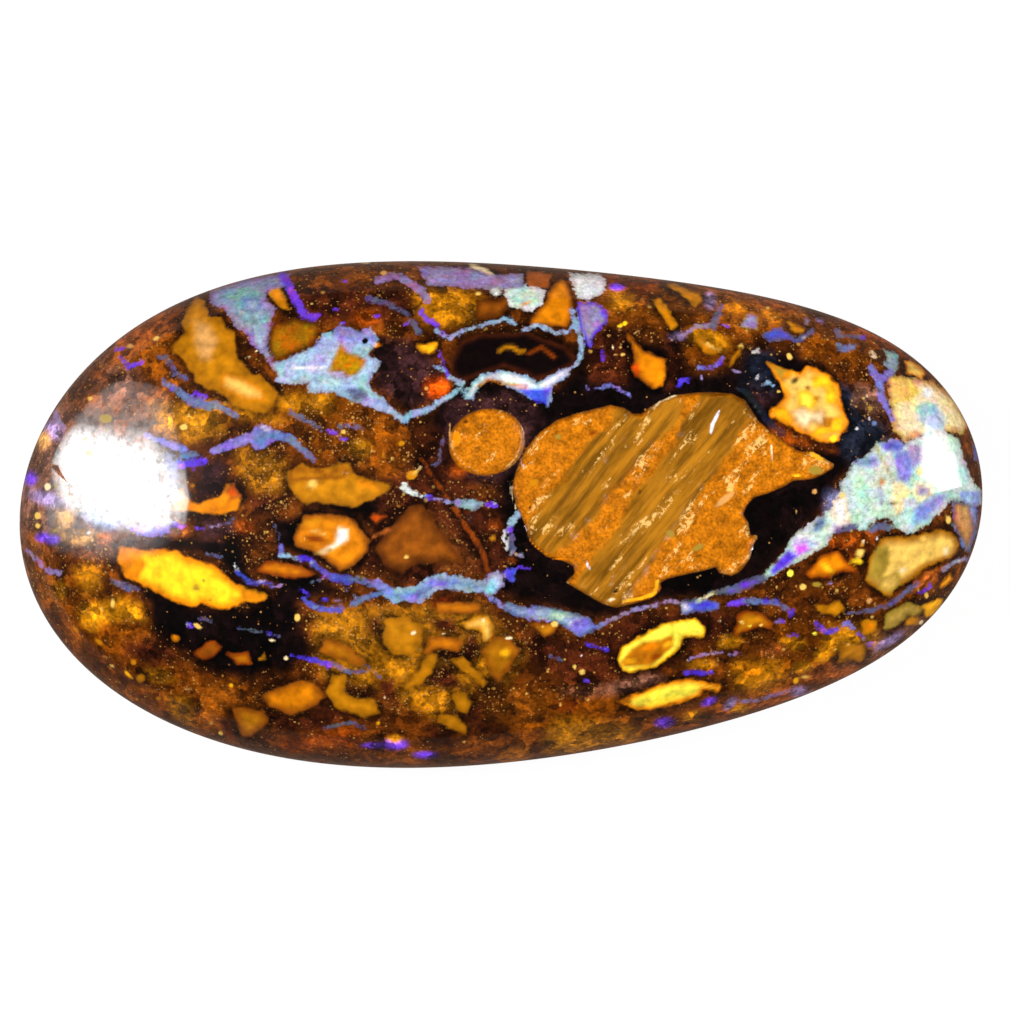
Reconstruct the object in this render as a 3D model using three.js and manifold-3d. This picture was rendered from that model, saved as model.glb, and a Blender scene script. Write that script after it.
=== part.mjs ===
// A polished boulder opal: one egg-shaped cabochon of dark ironstone with opal seams, lying on its flat sawn back.
// The stone is a single piece. Its dome carries two patches of soft ochre clay that polish lower than the hard
// stone round them: one large and lobed with two diagonal channels, and one small and round.
// Millimetres, +Z up. X runs along the stone, narrow end at +X. The origin is the middle of the flat back.

import * as THREE from "three";
import { mergeVertices } from "three/addons/utils/BufferGeometryUtils.js";
import Module from "manifold-3d";

const wasm = await Module();
wasm.setup();

// Driving dimensions
const stoneLength = 38.5;
const stoneHeight = 7.6;
const girdleHeight = 2.0;
const domeFullness = 2.2;
const bevelFullness = 2.0;
const backShare = 0.88;

// Half width across the stone, and how far its middle line bows towards +Y, at a place u along the length:
// u is -1 at the broad end and 1 at the narrow end, and each list holds the coefficients of 1, u, u^2, ...
const halfWidthAlong = [9.98, -1.51, 1.73, 1.17];
const bowAlong = [0.01, 0.34, 0.82, 0.24, -0.63];

// How finely the surface is faceted
const aroundCount = 128;
const domeRings = 20;
const bevelRings = 5;

// How far the ochre sits below the polished dome
const ochreDepth = 0.15;
const channelDepth = 0.32;

// Outline of the large ochre patch
const largePatchOutline = [
  [1.0, 2.6], [1.5, 3.2], [2.2, 3.7], [2.9, 3.95], [3.5, 4.1], [4.3, 4.3], [4.8, 4.2], [5.2, 3.95],
  [5.5, 3.95], [5.85, 4.2], [6.3, 4.5], [6.9, 4.7], [7.7, 4.8], [8.5, 4.8], [9.1, 4.75], [9.6, 4.5],
  [9.85, 4.1], [10.1, 3.7], [10.5, 3.35], [11.1, 2.9], [11.7, 2.5], [12.3, 2.45], [13.1, 2.0], [13.1, 1.85],
  [12.7, 1.6], [12.2, 1.4], [11.5, 1.35], [11.1, 1.1], [10.5, 0.85], [9.95, 0.7], [9.65, 0.35], [9.5, 0.0],
  [9.7, -0.3], [9.8, -0.8], [10.1, -0.85], [9.9, -1.2], [9.8, -1.7], [9.45, -2.2], [9.05, -2.4], [8.6, -2.3],
  [8.45, -2.05], [7.9, -2.2], [7.2, -2.35], [6.55, -2.5], [6.25, -2.65], [6.3, -2.95], [5.85, -3.3],
  [5.15, -3.5], [4.5, -3.65], [4.0, -3.5], [3.4, -3.15], [2.9, -2.85], [2.55, -2.65], [2.9, -2.3], [2.85, -2.0],
  [2.45, -1.8], [1.8, -1.65], [1.35, -1.25], [1.05, -0.8], [0.9, -0.25], [0.6, 0.35], [0.45, 1.1],
  [0.6, 1.7], [0.75, 2.1],
];

// The small round patch, and the channels of the large one, each along a line between two points
const roundPatch = { centre: [-0.55, 2.85], halfLength: 1.5, halfWidth: 1.3, turn: 0.25, corners: 28 };
const channels = [
  { from: [0.4, -1.7], to: [5.8, 4.3], width: 0.75 },
  { from: [3.3, -3.6], to: [9.4, 4.7], width: 1.15 },
];

// Heights between which the patch cutters stand: from well inside the stone to above it
const cutterFloor = 3.5;
const cutterTop = stoneHeight + 1;

function polynomial(coefficients, u) {
  return coefficients.reduce((sum, value, power) => sum + value * u ** power, 0);
}

// A point of the stone's outline seen from above. The angle runs counter-clockwise from the narrow end.
function rawOutlinePoint(angle) {
  const u = Math.cos(angle);
  const y = Math.sin(angle) * polynomial(halfWidthAlong, u) + polynomial(bowAlong, u);
  return new THREE.Vector2((u * stoneLength) / 2, y);
}

// The outline's points, moved so that the middle of their box is the origin
function outlinePoints() {
  const points = [];
  for (let i = 0; i < aroundCount; i += 1) {
    points.push(rawOutlinePoint((i / aroundCount) * Math.PI * 2));
  }
  const middle = new THREE.Box2().setFromPoints(points).getCenter(new THREE.Vector2());
  return points.map((point) => point.sub(middle));
}

// Half of the stone's cross-section, as share of the outline and height: dome, girdle, bevelled edge, flat back
function crossSection() {
  const rise = stoneHeight - girdleHeight;
  const profile = [new THREE.Vector2(0, stoneHeight)];
  for (let i = 1; i <= domeRings; i += 1) {
    const turn = ((i / domeRings) * Math.PI) / 2;
    const share = Math.sin(turn) ** (2 / domeFullness);
    const height = girdleHeight + rise * Math.max(Math.cos(turn), 0) ** (2 / domeFullness);
    profile.push(new THREE.Vector2(share, height));
  }
  for (let i = 1; i <= bevelRings; i += 1) {
    const turn = ((i / bevelRings) * Math.PI) / 2;
    const share = backShare + (1 - backShare) * Math.max(Math.cos(turn), 0) ** (2 / bevelFullness);
    const height = girdleHeight * (1 - Math.sin(turn) ** (2 / bevelFullness));
    profile.push(new THREE.Vector2(share, height));
  }
  profile.push(new THREE.Vector2(0, 0));
  return profile;
}

// A round cabochon turned on a lathe, then stretched so that each of its spokes reaches the egg-shaped outline
function cabochonGeometry() {
  const outline = outlinePoints();
  const profile = crossSection();
  const geometry = new THREE.LatheGeometry(profile, aroundCount);
  const position = geometry.getAttribute("position");
  for (let spoke = 0; spoke <= aroundCount; spoke += 1) {
    const rim = outline[(aroundCount - spoke) % aroundCount];
    profile.forEach(({ x: share, y: height }, ring) => {
      position.setXYZ(spoke * profile.length + ring, rim.x * share, rim.y * share, height);
    });
  }
  return geometry;
}

// A three.js geometry as a solid that can be joined and cut
function solidFrom(geometry) {
  const bare = geometry.index ? geometry.toNonIndexed() : geometry.clone();
  bare.deleteAttribute("normal");
  bare.deleteAttribute("uv");
  const merged = mergeVertices(bare, 1e-4);
  return new wasm.Manifold(
    new wasm.Mesh({
      numProp: 3,
      vertProperties: merged.getAttribute("position").array,
      triVerts: new Uint32Array(merged.index.array),
    }),
  );
}

// A solid back as a three.js geometry with flat faces
function geometryFrom(solid) {
  const mesh = solid.getMesh();
  const geometry = new THREE.BufferGeometry();
  geometry.setAttribute("position", new THREE.BufferAttribute(mesh.vertProperties, 3));
  geometry.setIndex(new THREE.BufferAttribute(mesh.triVerts, 1));
  const faceted = geometry.toNonIndexed();
  faceted.computeVertexNormals();
  return faceted;
}

// An upright prism over a flat outline, reaching from inside the stone to above it
function prismOver(points) {
  const shape = new THREE.Shape(points);
  const depth = cutterTop - cutterFloor;
  const geometry = new THREE.ExtrudeGeometry(shape, { depth, bevelEnabled: false });
  geometry.translate(0, 0, cutterFloor);
  return solidFrom(geometry);
}

function roundPatchOutline({ centre, halfLength, halfWidth, turn, corners }) {
  const [x, y] = centre;
  const curve = new THREE.EllipseCurve(x, y, halfLength, halfWidth, 0, Math.PI * 2, false, turn);
  return curve.getPoints(corners).slice(0, corners);
}

// The four corners of a channel's strip
function channelOutline({ from, to, width }) {
  const start = new THREE.Vector2(...from);
  const end = new THREE.Vector2(...to);
  const along = end.clone().sub(start).normalize();
  const side = new THREE.Vector2(-along.y, along.x).multiplyScalar(width / 2);
  return [start.clone().sub(side), end.clone().sub(side), end.clone().add(side), start.clone().add(side)];
}

// Sinks the area under a prism: the floor of the hollow is the dome itself, lowered
function sink(stone, dome, prism, depth) {
  return stone.subtract(prism.subtract(dome.translate([0, 0, -depth])));
}

function boulderOpal() {
  const dome = solidFrom(cabochonGeometry());
  const largePatch = prismOver(largePatchOutline.map(([x, y]) => new THREE.Vector2(x, y)));
  const smallPatch = prismOver(roundPatchOutline(roundPatch));
  let stone = sink(dome, dome, largePatch, ochreDepth);
  stone = sink(stone, dome, smallPatch, ochreDepth);
  for (const channel of channels) {
    stone = sink(stone, dome, largePatch.intersect(prismOver(channelOutline(channel))), channelDepth);
  }
  const material = new THREE.MeshStandardMaterial({ color: 0x5a2f12, roughness: 0.12, metalness: 0 });
  const mesh = new THREE.Mesh(geometryFrom(stone), material);
  mesh.name = "boulder_opal";
  return mesh;
}

const object = new THREE.Group();
object.add(boulderOpal());

export default object;
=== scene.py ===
# A polished boulder opal lying on a pale floor, seen straight from above.
import math

import bmesh
import bpy
import numpy as np
from mathutils import Euler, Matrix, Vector, noise


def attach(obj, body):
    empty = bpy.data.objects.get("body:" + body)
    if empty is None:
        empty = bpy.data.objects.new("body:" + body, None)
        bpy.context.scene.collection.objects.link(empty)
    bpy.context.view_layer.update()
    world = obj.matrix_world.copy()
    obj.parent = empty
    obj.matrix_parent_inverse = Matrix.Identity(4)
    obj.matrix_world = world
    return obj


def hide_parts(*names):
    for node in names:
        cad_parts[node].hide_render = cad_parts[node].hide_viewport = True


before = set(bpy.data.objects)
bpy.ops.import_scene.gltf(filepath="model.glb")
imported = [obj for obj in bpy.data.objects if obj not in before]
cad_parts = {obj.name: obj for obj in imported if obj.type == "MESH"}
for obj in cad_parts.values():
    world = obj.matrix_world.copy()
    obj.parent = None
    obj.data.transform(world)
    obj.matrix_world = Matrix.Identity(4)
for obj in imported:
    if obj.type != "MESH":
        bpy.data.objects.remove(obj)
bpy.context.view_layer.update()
print("frame loaded")

mm = 0.001  # Blender works in metres, the sizes below are in millimetres

# The stone's shape, with the same sizes and formula as the solid that it stands for
stone = {
    "length": 38.5,
    "height": 7.6,
    "girdle": 2.0,
    "domeFullness": 2.2,
    "bevelFullness": 2.0,
    "backShare": 0.88,
    "halfWidthAlong": [9.98, -1.51, 1.73, 1.17],  # coefficients of 1, u, u^2, ... with u from -1 to 1 along x
    "bowAlong": [0.01, 0.34, 0.82, 0.24, -0.63],
    "outlineSteps": 128,  # how finely the solid's outline is read to find its middle
    "profileSteps": 1200,  # how finely the dome's curve is measured to space its faces evenly
    "cellsAlong": 400,  # faces of the dome along and across the stone
    "cellsAcross": 216,
    "meanRadius": 13.0,  # evens out the size of the dome's faces between middle and rim
    "bevelRings": 5,
    "paintedRings": 2,  # the rings of the bevel that the markings reach
    "backRing": 0.5,  # share of the outline where the flat back closes
    "creaseAngle": 40.0,  # degrees
    "ochreDepth": 0.15,  # how far the clay patches lie below the polish
    "channelDepth": 0.26,
    "ochreWall": 0.16,  # width of the slope round a clay patch
    "ochreLumps": [(0.9, 0.06), (2.6, 0.08)],  # lumps per millimetre and their height
    "ochreRidges": [(0.2, 1.3, 0.2), (0.4, 2.6, 0.1)],  # ridges per millimetre along, across, and height
    "ridgesOutside": 0.35,  # how high the ridges are outside the channels, as a share
}

# Colours as they look on the stone, 0 to 255
palette = {
    "night": (10, 3, 3),
    "navy": (26, 30, 44),
    "plum": (44, 22, 23),
    "maroon": (60, 22, 6),
    "umber": (80, 36, 3),
    "brown": (104, 50, 2),
    "rust": (130, 54, 3),
    "chestnut": (136, 70, 8),
    "redBrown": (150, 74, 22),
    "bronze": (156, 96, 6),
    "golden": (186, 118, 8),
    "amber": (212, 122, 5),
    "orange": (232, 130, 4),
    "ember": (205, 72, 4),
    "honey": (244, 170, 18),
    "yellow": (255, 205, 30),
    "lemon": (255, 236, 70),
    "straw": (230, 184, 86),
    "tan": (205, 148, 80),
    "clay": (180, 103, 8),
    "channel": (146, 94, 16),
    # painted highlight along the clay's crests
    "crestHighlight": (236, 190, 110),
    "cream": (240, 214, 165),
    "white": (232, 228, 228),
    "olive": (150, 122, 40),
    "slate": (92, 92, 128),
    "steel": (92, 114, 160),
    "ice": (152, 174, 205),
    "teal": (128, 160, 168),
    "mint": (186, 205, 194),
    "blue": (72, 80, 190),
    "indigo": (78, 56, 220),
    "violet": (112, 60, 225),
    "lilac": (128, 120, 205),
    "mauve": (150, 126, 176),
    "magenta": (205, 95, 250),
    # greyed pale brown; along the left rim and above the left highlight it is painted sheen, a reflection of
    # the bright surroundings
    "haze": (128, 84, 66),
}

# The clay patches
clayPatches = {
    "large": [
        1.0, 2.6, 1.5, 3.2, 2.2, 3.7, 2.9, 3.95, 3.5, 4.1, 4.3, 4.3, 4.8, 4.2, 5.2, 3.95, 5.5, 3.95,
        5.85, 4.2, 6.3, 4.5, 6.9, 4.7, 7.7, 4.8, 8.5, 4.8, 9.1, 4.75, 9.6, 4.5, 9.85, 4.1, 10.1, 3.7,
        10.5, 3.35, 11.1, 2.9, 11.7, 2.5, 12.3, 2.45, 13.1, 2.0, 13.1, 1.85, 12.7, 1.6, 12.2, 1.4,
        11.5, 1.35, 11.1, 1.1, 10.5, 0.85, 9.95, 0.7, 9.65, 0.35, 9.5, 0.0, 9.7, -0.3, 9.8, -0.8,
        10.1, -0.85, 9.9, -1.2, 9.8, -1.7, 9.45, -2.2, 9.05, -2.4, 8.6, -2.3, 8.45, -2.05, 7.9, -2.2,
        7.2, -2.35, 6.55, -2.5, 6.25, -2.65, 6.3, -2.95, 5.85, -3.3, 5.15, -3.5, 4.5, -3.65, 4.0, -3.5,
        3.4, -3.15, 2.9, -2.85, 2.55, -2.65, 2.9, -2.3, 2.85, -2.0, 2.45, -1.8, 1.8, -1.65, 1.35, -1.25,
        1.05, -0.8, 0.9, -0.25, 0.6, 0.35, 0.45, 1.1, 0.6, 1.7, 0.75, 2.1,
    ],
    "round": (-0.55, 2.85, 3.0, 2.6, 14.3),  # middle, length, width and turn in degrees
    "channels": [(0.5, -2.2, 6.2, 4.4, 1.9), (3.6, -3.6, 9.2, 4.7, 2.0)],  # from, to, width
    "grain": 51.0,  # degrees, the way the channels and their ridges run
}


def smoothStep(low, high, value):
    share = np.clip((value - low) / (high - low), 0.0, 1.0)
    return share * share * (3.0 - 2.0 * share)


def mix(first, second, share):
    return first + (second - first) * share


def tint(name):
    level = np.array(palette[name]) / 255.0
    return np.where(level <= 0.04045, level / 12.92, ((level + 0.055) / 1.055) ** 2.4)


# Distances inside the marks, in millimetres: above 0 inside, below 0 outside

def lineDepth(x, y, points, widths):
    points = np.array(points, float).reshape(-1, 2)
    widths = np.interp(np.linspace(0, 1, len(points)), np.linspace(0, 1, len(widths)), widths)
    depth = np.full(len(x), -99.0)
    for start, end, wide, narrow in zip(points[:-1], points[1:], widths[:-1], widths[1:]):
        run = end - start
        along = ((x - start[0]) * run[0] + (y - start[1]) * run[1]) / max(run @ run, 1e-9)
        along = np.clip(along, 0, 1)
        off = np.hypot(x - start[0] - along * run[0], y - start[1] - along * run[1])
        depth = np.maximum(depth, mix(wide, narrow, along) / 2 - off)
    return depth


def areaDepth(x, y, points):
    points = np.array(points, float).reshape(-1, 2)
    ends = np.roll(points, -1, axis=0)
    nearest = np.full(len(x), 99.0)
    inside = np.zeros(len(x), bool)
    for start, end in zip(points, ends):
        run = end - start
        along = ((x - start[0]) * run[0] + (y - start[1]) * run[1]) / max(run @ run, 1e-9)
        along = np.clip(along, 0, 1)
        nearest = np.minimum(nearest, np.hypot(x - start[0] - along * run[0], y - start[1] - along * run[1]))
        if start[1] != end[1]:
            crosses = (start[1] > y) != (end[1] > y)
            inside ^= crosses & (x < start[0] + (y - start[1]) * run[0] / run[1])
    return np.where(inside, nearest, -nearest)


def spotDepth(x, y, spot):
    middleX, middleY, length, width, turn = spot
    angle = math.radians(turn)
    along = (x - middleX) * math.cos(angle) + (y - middleY) * math.sin(angle)
    across = (y - middleY) * math.cos(angle) - (x - middleX) * math.sin(angle)
    reach = np.hypot(along / (length / 2), across / (width / 2))
    return (1 - reach) * min(length, width) / 2


def near(x, y, points, margin):
    points = np.array(points, float).reshape(-1, 2)
    low = points.min(axis=0) - margin
    high = points.max(axis=0) + margin
    return np.flatnonzero((x > low[0]) & (x < high[0]) & (y > low[1]) & (y < high[1]))


# Paints soft colours one over the other
def paintGround(x, y, marks, firstColour):
    colour = np.tile(firstColour, (len(x), 1))
    for name, soft, points in marks["areas"]:
        picked = near(x, y, points, soft)
        share = smoothStep(-soft, soft, areaDepth(x[picked], y[picked], points))
        colour[picked] = mix(colour[picked], tint(name), share[:, None])
    for name, *spot in marks["spots"]:
        picked = near(x, y, spot[:2], max(spot[2:4]))
        width = min(spot[2:4])
        share = smoothStep(-0.35 * width, 0.3 * width, spotDepth(x[picked], y[picked], spot))
        colour[picked] = mix(colour[picked], tint(name), share[:, None])
    return colour


outside = -9.0  # the depth of a point that lies in no mark


# Paints marks with a clear edge: gives each point its depth inside the nearest mark, and that mark's colour
def paintMarks(x, y, marks):
    depth = np.full(len(x), outside)
    colour = np.zeros((len(x), 3))
    margin = 0.8

    def lay(picked, inside, colours, soft):
        before = depth[picked]
        share = np.where(before < 0, inside > before, smoothStep(-soft, soft, inside))
        colour[picked] = mix(colour[picked], colours, share[:, None])
        depth[picked] = np.maximum(before, inside)

    for edgeName, coreName, reach, points in marks["areas"]:
        picked = near(x, y, points, margin)
        inside = areaDepth(x[picked], y[picked], points)
        share = smoothStep(0, reach, inside)[:, None]
        lay(picked, inside, mix(tint(edgeName), tint(coreName), share), 0.1)
    for name, widths, points in marks["lines"]:
        picked = near(x, y, points, margin)
        lay(picked, lineDepth(x[picked], y[picked], points, widths), tint(name), 0.08)
    for name, *spot in marks["spots"]:
        picked = near(x, y, spot[:2], max(spot[2:4]) / 2 + 0.3)
        lay(picked, spotDepth(x[picked], y[picked], spot), tint(name), 0.08)
    return depth, colour


# Soft colours of the ironstone, with painted sheen along the left rim and above the left highlight, from the
# bottom up: colour, softness in millimetres, outline
groundMarks = {
    "areas": [
        # painted sheen: the pale reflection of the bright surroundings on the steep left rim
        ("haze", 0.8, [-19.5, 4.5, -19.5, -4.5, -18.3, -3.5, -18.2, 0, -17.6, 3.5, -15.5, 6.6, -16.5, 7.5]),
        ("chestnut", 0.4, [-18.9, -0.6, -18.3, -0.6, -17.3, -3.6, -18.4, -3.9, -19.2, -1.5]),
        ("brown", 0.6, [-17.4, 4.6, -13.5, 8.6, -12.6, 6.4, -11.6, 4.9, -15.5, 3.5]),
        ("redBrown", 0.5, [-15.4, 7.3, -12.4, 9.2, -12.8, 7.7, -15.2, 6.2]),
        ("golden", 0.4, [-13.8, 4.3, -11.3, 4.3, -11, 3.3, -12.4, 2.9, -13.6, 3.5]),
        ("brown", 0.5, [-9.6, 4.2, -6.6, 4.7, -3.9, 3.8, -3.4, 1.2, -8, 2.3, -8.1, 3.2]),
        ("bronze", 0.3, [-8.8, 4.7, -6.6, 4.8, -6.6, 4.1, -7.7, 3.9, -8.9, 4.2]),
        ("bronze", 0.4, [-10.4, 2.6, -9.1, 2.4, -8.5, 2, -8.6, 1, -9.6, 0.9, -10.2, 1.6]),
        ("brown", 0.4, [-8.2, 9.8, -6.2, 10.2, -2.6, 10.2, -3.6, 9.6, -8, 9]),
        ("maroon", 0.3, [-8.3, 9.1, -3.8, 8.9, -3.4, 8, -5, 7.5, -7.4, 7.7, -8.1, 8.3]),
        ("plum", 0.3, [-4.9, 6.9, -3.6, 6.9, -2.7, 6.2, -2.3, 5.4, -2.6, 4.6, -3.6, 4.1, -4.9, 5, -5.1, 6.2]),
        ("bronze", 0.35, [-3.4, 9, -1.3, 8.9, -0.6, 8.4, -1.1, 7.5, -2.8, 7.5, -3.3, 8]),
        ("chestnut", 0.5, [
            2.4, 9.6, 8, 9.3, 12, 8.3, 12, 7.3, 9.4, 7.2, 8.4, 8, 6.9, 7.6, 4.6, 7.9, 3.9, 7.4]),
        ("rust", 0.4, [4, 9.6, 6.4, 9.4, 6, 8.7, 4.2, 8.8]),
        ("bronze", 0.3, [4.3, 8.9, 5.3, 8.7, 5.2, 8.1, 4.3, 8.2]),
        ("brown", 0.4, [7.2, 7.1, 9.3, 7.2, 9.7, 6.4, 8.9, 5.9, 7.1, 6.2]),
        ("night", 0.45, [
            -3, 3.6, -2.2, 5.1, -0.5, 5.6, 1.8, 4.9, 2.9, 5.8, 3.3, 7, 4.4, 7.3, 5.1, 6.8, 7.1, 6.9, 7.4, 5.6,
            9.5, 5.9, 10, 6.5, 11.6, 6.6, 14, 4.9, 14.6, 3.2, 12.7, 0, 10.9, -1.9, 7.7, -3.2, 3.6, -4.2,
            -0.3, -3.2, -0.2, 1.3, -2.4, 1.3]),
        ("plum", 0.3, [
            -2.3, 3.9, -1.6, 4.6, 0.4, 4.8, 1.4, 4.4, 1.7, 3.7, 1, 2.9, 0.6, 2, -0.2, 1.2, -2.2, 1.6]),
        ("maroon", 0.3, [3.4, 7.1, 5, 7.1, 5.1, 5.9, 4.9, 5.2, 3.6, 5.3, 3.2, 6.1]),
        ("maroon", 0.25, [6.6, 6.9, 7, 6, 6.8, 5, 6.5, 5]),
        ("plum", 0.3, [9.6, 5.5, 10.4, 5.6, 11.1, 4.9, 11, 4.4, 10.3, 4.2]),
        ("navy", 0.4, [9.6, 6.4, 10.6, 6.4, 11.1, 5.2, 10.6, 4.8, 9.6, 5.2]),
        ("navy", 0.35, [13.5, 5.1, 14, 4.9, 14.1, 4, 15.2, 3.6, 15.4, 2.9, 13.8, 1.9, 13.4, 2.6, 13.6, 3.7]),
        ("umber", 0.3, [13.6, 6.7, 14.9, 6.9, 14.9, 5.4, 14, 5, 13.4, 5.6]),
        ("haze", 0.3, [14.1, 5.1, 15, 4.9, 15.3, 4.1, 14.5, 4, 14, 4.4]),
        ("brown", 0.3, [12, 7.2, 13.4, 7.6, 14.8, 7, 15.2, 6, 14.6, 5.8, 13.4, 6.2, 12, 6.3]),
        ("rust", 0.3, [13.6, 7.9, 15.9, 6.8, 17.9, 4.8, 15.6, 6.6, 13.6, 7.5]),
        ("rust", 0.25, [10.6, 3.7, 11.9, 3.5, 12.9, 3, 13.2, 2.5, 11, 2.8]),
        ("umber", 0.4, [
            9.6, -3.6, 11.4, -3.9, 12.2, -2.1, 13, -1.1, 14.9, -0.7, 15.2, -1.2, 14.4, -2.7, 15, -3.6,
            13.9, -4.7, 9.2, -5.2]),
        ("rust", 0.3, [12.9, -0.9, 14.8, -0.7, 14.9, -1.1, 14.2, -1.6, 13.9, -2.2, 13.3, -1.3, 12.6, -1.4]),
        ("brown", 0.4, [
            9.2, -4.6, 15, -4, 16.4, -3.3, 17, -2.2, 18.9, -1.5, 18, -3.5, 15.2, -5.8, 11.9, -7.2, 8, -8.3,
            5.6, -8.4, 7.9, -6.9, 9, -6.8]),
        ("redBrown", 0.25, [16.3, -2.4, 17.3, -2.1, 17.4, -2.6, 17, -2.9, 16.4, -2.9]),
        ("bronze", 0.4, [9.2, -5.9, 10.9, -5.7, 11.2, -6.4, 10.4, -7, 9.3, -6.9]),
        ("haze", 0.5, [14.5, -4.8, 16.2, -4.7, 16.6, -4.4, 15.4, -5.7, 13.3, -6.1, 14.4, -5.6]),
        ("redBrown", 0.4, [12.2, -6.2, 14.3, -6.1, 13, -6.9, 8.5, -8.4, 7.3, -8.2, 12, -6.8]),
        ("maroon", 0.35, [
            2.9, -4.9, 5, -4, 7.2, -3.7, 9.2, -3.8, 9.2, -4.8, 7.4, -5.2, 7, -5.8, 3, -7, 1, -5.6,
            0.9, -4.7]),
        ("haze", 0.3, [2.4, -7, 4.2, -6.8, 5.9, -6.3, 6.4, -6.5, 3.2, -7.4]),
        ("brown", 0.5, [
            0.9, -7, 4, -7, 6, -7.8, 8, -7.5, 8.2, -8.2, 4, -9.4, 0.5, -9.9, -6, -9.9, -5, -8.9, -1, -9]),
        ("bronze", 0.4, [1.8, -8.6, 2.3, -8, 5.4, -8.5, 4.6, -9.2, 2.4, -9.4, 1.7, -9.2]),
        ("amber", 0.3, [-0.1, -9.9, 0.3, -9.4, 0.8, -9.2, 1.1, -9.8]),
        ("night", 0.4, [
            -14.4, -2.9, -13.4, -3, -12.2, -3.5, -10, -3.6, -9.1, -3.1, -8.7, -1.9, -7.4, -2.1, -6, -3.1,
            -7.9, -3.5, -7.7, -4.6, -9.8, -6.6, -11.3, -6.3, -14.9, -4]),
        ("night", 0.3, [
            -14.9, -1.1, -13.2, -0.8, -10.3, -0.9, -9.6, -2.8, -10.4, -2.6, -11.2, -1.8, -12.4, -1.4]),
        ("night", 0.25, [
            -8.9, -0.1, -8.1, -0.2, -7.6, 0.3, -5.8, 0, -5, -0.9, -5, -1.9, -6.2, -2.3, -9, -1.1]),
        ("night", 0.25, [-7.6, 0.4, -5.6, 0.4, -4.2, 1, -3.6, 0.7, -3.7, 0.1, -4.6, 0.2, -5.2, -0.2]),
        ("plum", 0.25, [-11.9, 1.9, -11.1, 2.2, -10.7, 1.9, -10.9, 0.9, -11.9, 0.6]),
        ("maroon", 0.25, [-9.9, 0.8, -8.9, 0.8, -8.9, 0.1, -9.9, 0.1]),
        ("plum", 0.25, [-11.8, -0.1, -10.5, 0, -10.4, -0.8, -11.8, -1]),
        ("maroon", 0.4, [-5.4, -2.2, -4.6, 0.5, -3, 2.6, -1, 1, 0.2, -0.6, 0.2, -2.2, -3.2, -2.4]),
        ("brown", 0.4, [-4.4, -2, -3.6, 0.3, -2.9, 0.5, -1.8, -0.6, -1.4, -1.9, -3.2, -2.2]),
        ("redBrown", 0.4, [-2.6, -0.9, -1.9, -0.9, -1, -1.7, -1.3, -2.1, -2.4, -2]),
        ("night", 0.25, [-0.9, -0.3, 0.1, -0.3, 0.1, -1.6, -0.5, -1.9, -1, -1.1]),
        ("brown", 0.4, [
            -17.6, -2.2, -15.6, -2.3, -14, -3.6, -13.8, -5.6, -12.4, -6.4, -9.5, -7, -8.9, -8.6, -10.9, -9,
            -14, -7.8, -17, -5.3]),
        ("bronze", 0.35, [-16.9, -2.2, -16.2, -2, -15.8, -2.4, -15.9, -3, -16.5, -3.1]),
        ("golden", 0.3, [
            -16.7, -3.7, -15.1, -3.3, -14.3, -3.6, -14.1, -4.1, -15.8, -4.2, -16.2, -4.6, -16.6, -4.3]),
        ("maroon", 0.4, [-14.9, -5, -13.2, -4.9, -12.8, -5.7, -13.8, -6, -15, -5.6]),
        ("umber", 0.3, [-16.6, -5.2, -14.9, -5.8, -14.4, -7.5, -15.6, -6.9, -16.8, -5.9]),
        ("chestnut", 0.4, [-15.9, -6.5, -14.9, -6.9, -14.7, -7.3, -15.6, -6.9]),
        ("bronze", 0.3, [-13.2, -7.3, -12.4, -7.3, -12, -7.9, -12.2, -8.5, -12.9, -8.2]),
        ("chestnut", 0.35, [-12.3, -7.6, -11, -7.6, -10.9, -8.2, -11.8, -8.7, -12.4, -8.4]),
        ("chestnut", 0.3, [-11.6, -6.8, -10.5, -6.6, -10.3, -7.4, -11.4, -7.5]),
        ("maroon", 0.25, [-11.4, -8, -10.6, -8.1, -10.4, -8.7, -8.8, -8.7, -9.4, -9.1, -10.9, -8.9]),
        ("maroon", 0.3, [-9.4, -7.8, -7.8, -8, -7, -7.4, -6.1, -7.7, -6, -8, -7.4, -8.6, -8.9, -8.6]),
        ("rust", 0.3, [-8.7, -9, -6, -8.4, -5.6, -8.7, -5.9, -9.2, -8.4, -9.4]),
        ("umber", 0.3, [-6.9, -9.2, -3.8, -9.3, -3.6, -9.6, -6.4, -9.7]),
        ("chestnut", 0.3, [-4.5, -9.6, -3.2, -9.5, -3.2, -10, -4.6, -9.9]),
        ("bronze", 0.4, [
            -7.2, -3.8, -0.9, -3.6, 0.9, -5.5, 0.2, -6.6, -1, -6.4, -1.3, -7.4, -2.6, -8, -4.4, -7,
            -6.9, -6.3, -7.3, -5]),
        ("maroon", 0.25, [-5.2, -4, -4.7, -4, -4.6, -4.7, -5.3, -4.7]),
        ("maroon", 0.2, [
            -2.9, -4.1, -1.9, -4, -1.6, -4.6, -1, -4.7, -0.8, -5.3, -1.2, -5.9, -2.6, -5.6, -2.4, -5.2,
            -1.5, -5.2, -1.4, -4.8, -2.5, -4.6]),
        ("maroon", 0.25, [-2.7, -6, -2.1, -5.8, -1.3, -6.9, -2.4, -6.9, -3.1, -6.6]),
        ("maroon", 0.25, [-6.2, -6.9, -5.2, -6.8, -4.9, -7.1, -6.3, -7.2]),
        ("maroon", 0.3, [-5, -6.4, -4.1, -6.4, -4, -7.6, -4.8, -7.2]),
        ("maroon", 0.25, [-2.8, -8.4, -1.9, -8.6, -1.9, -9.2, -3, -9.1]),
        ("maroon", 0.3, [-1.6, -7.6, -0.7, -7.6, -0.6, -8.3, 0.3, -8.4, 0.2, -8.8, -1, -8.6]),
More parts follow.
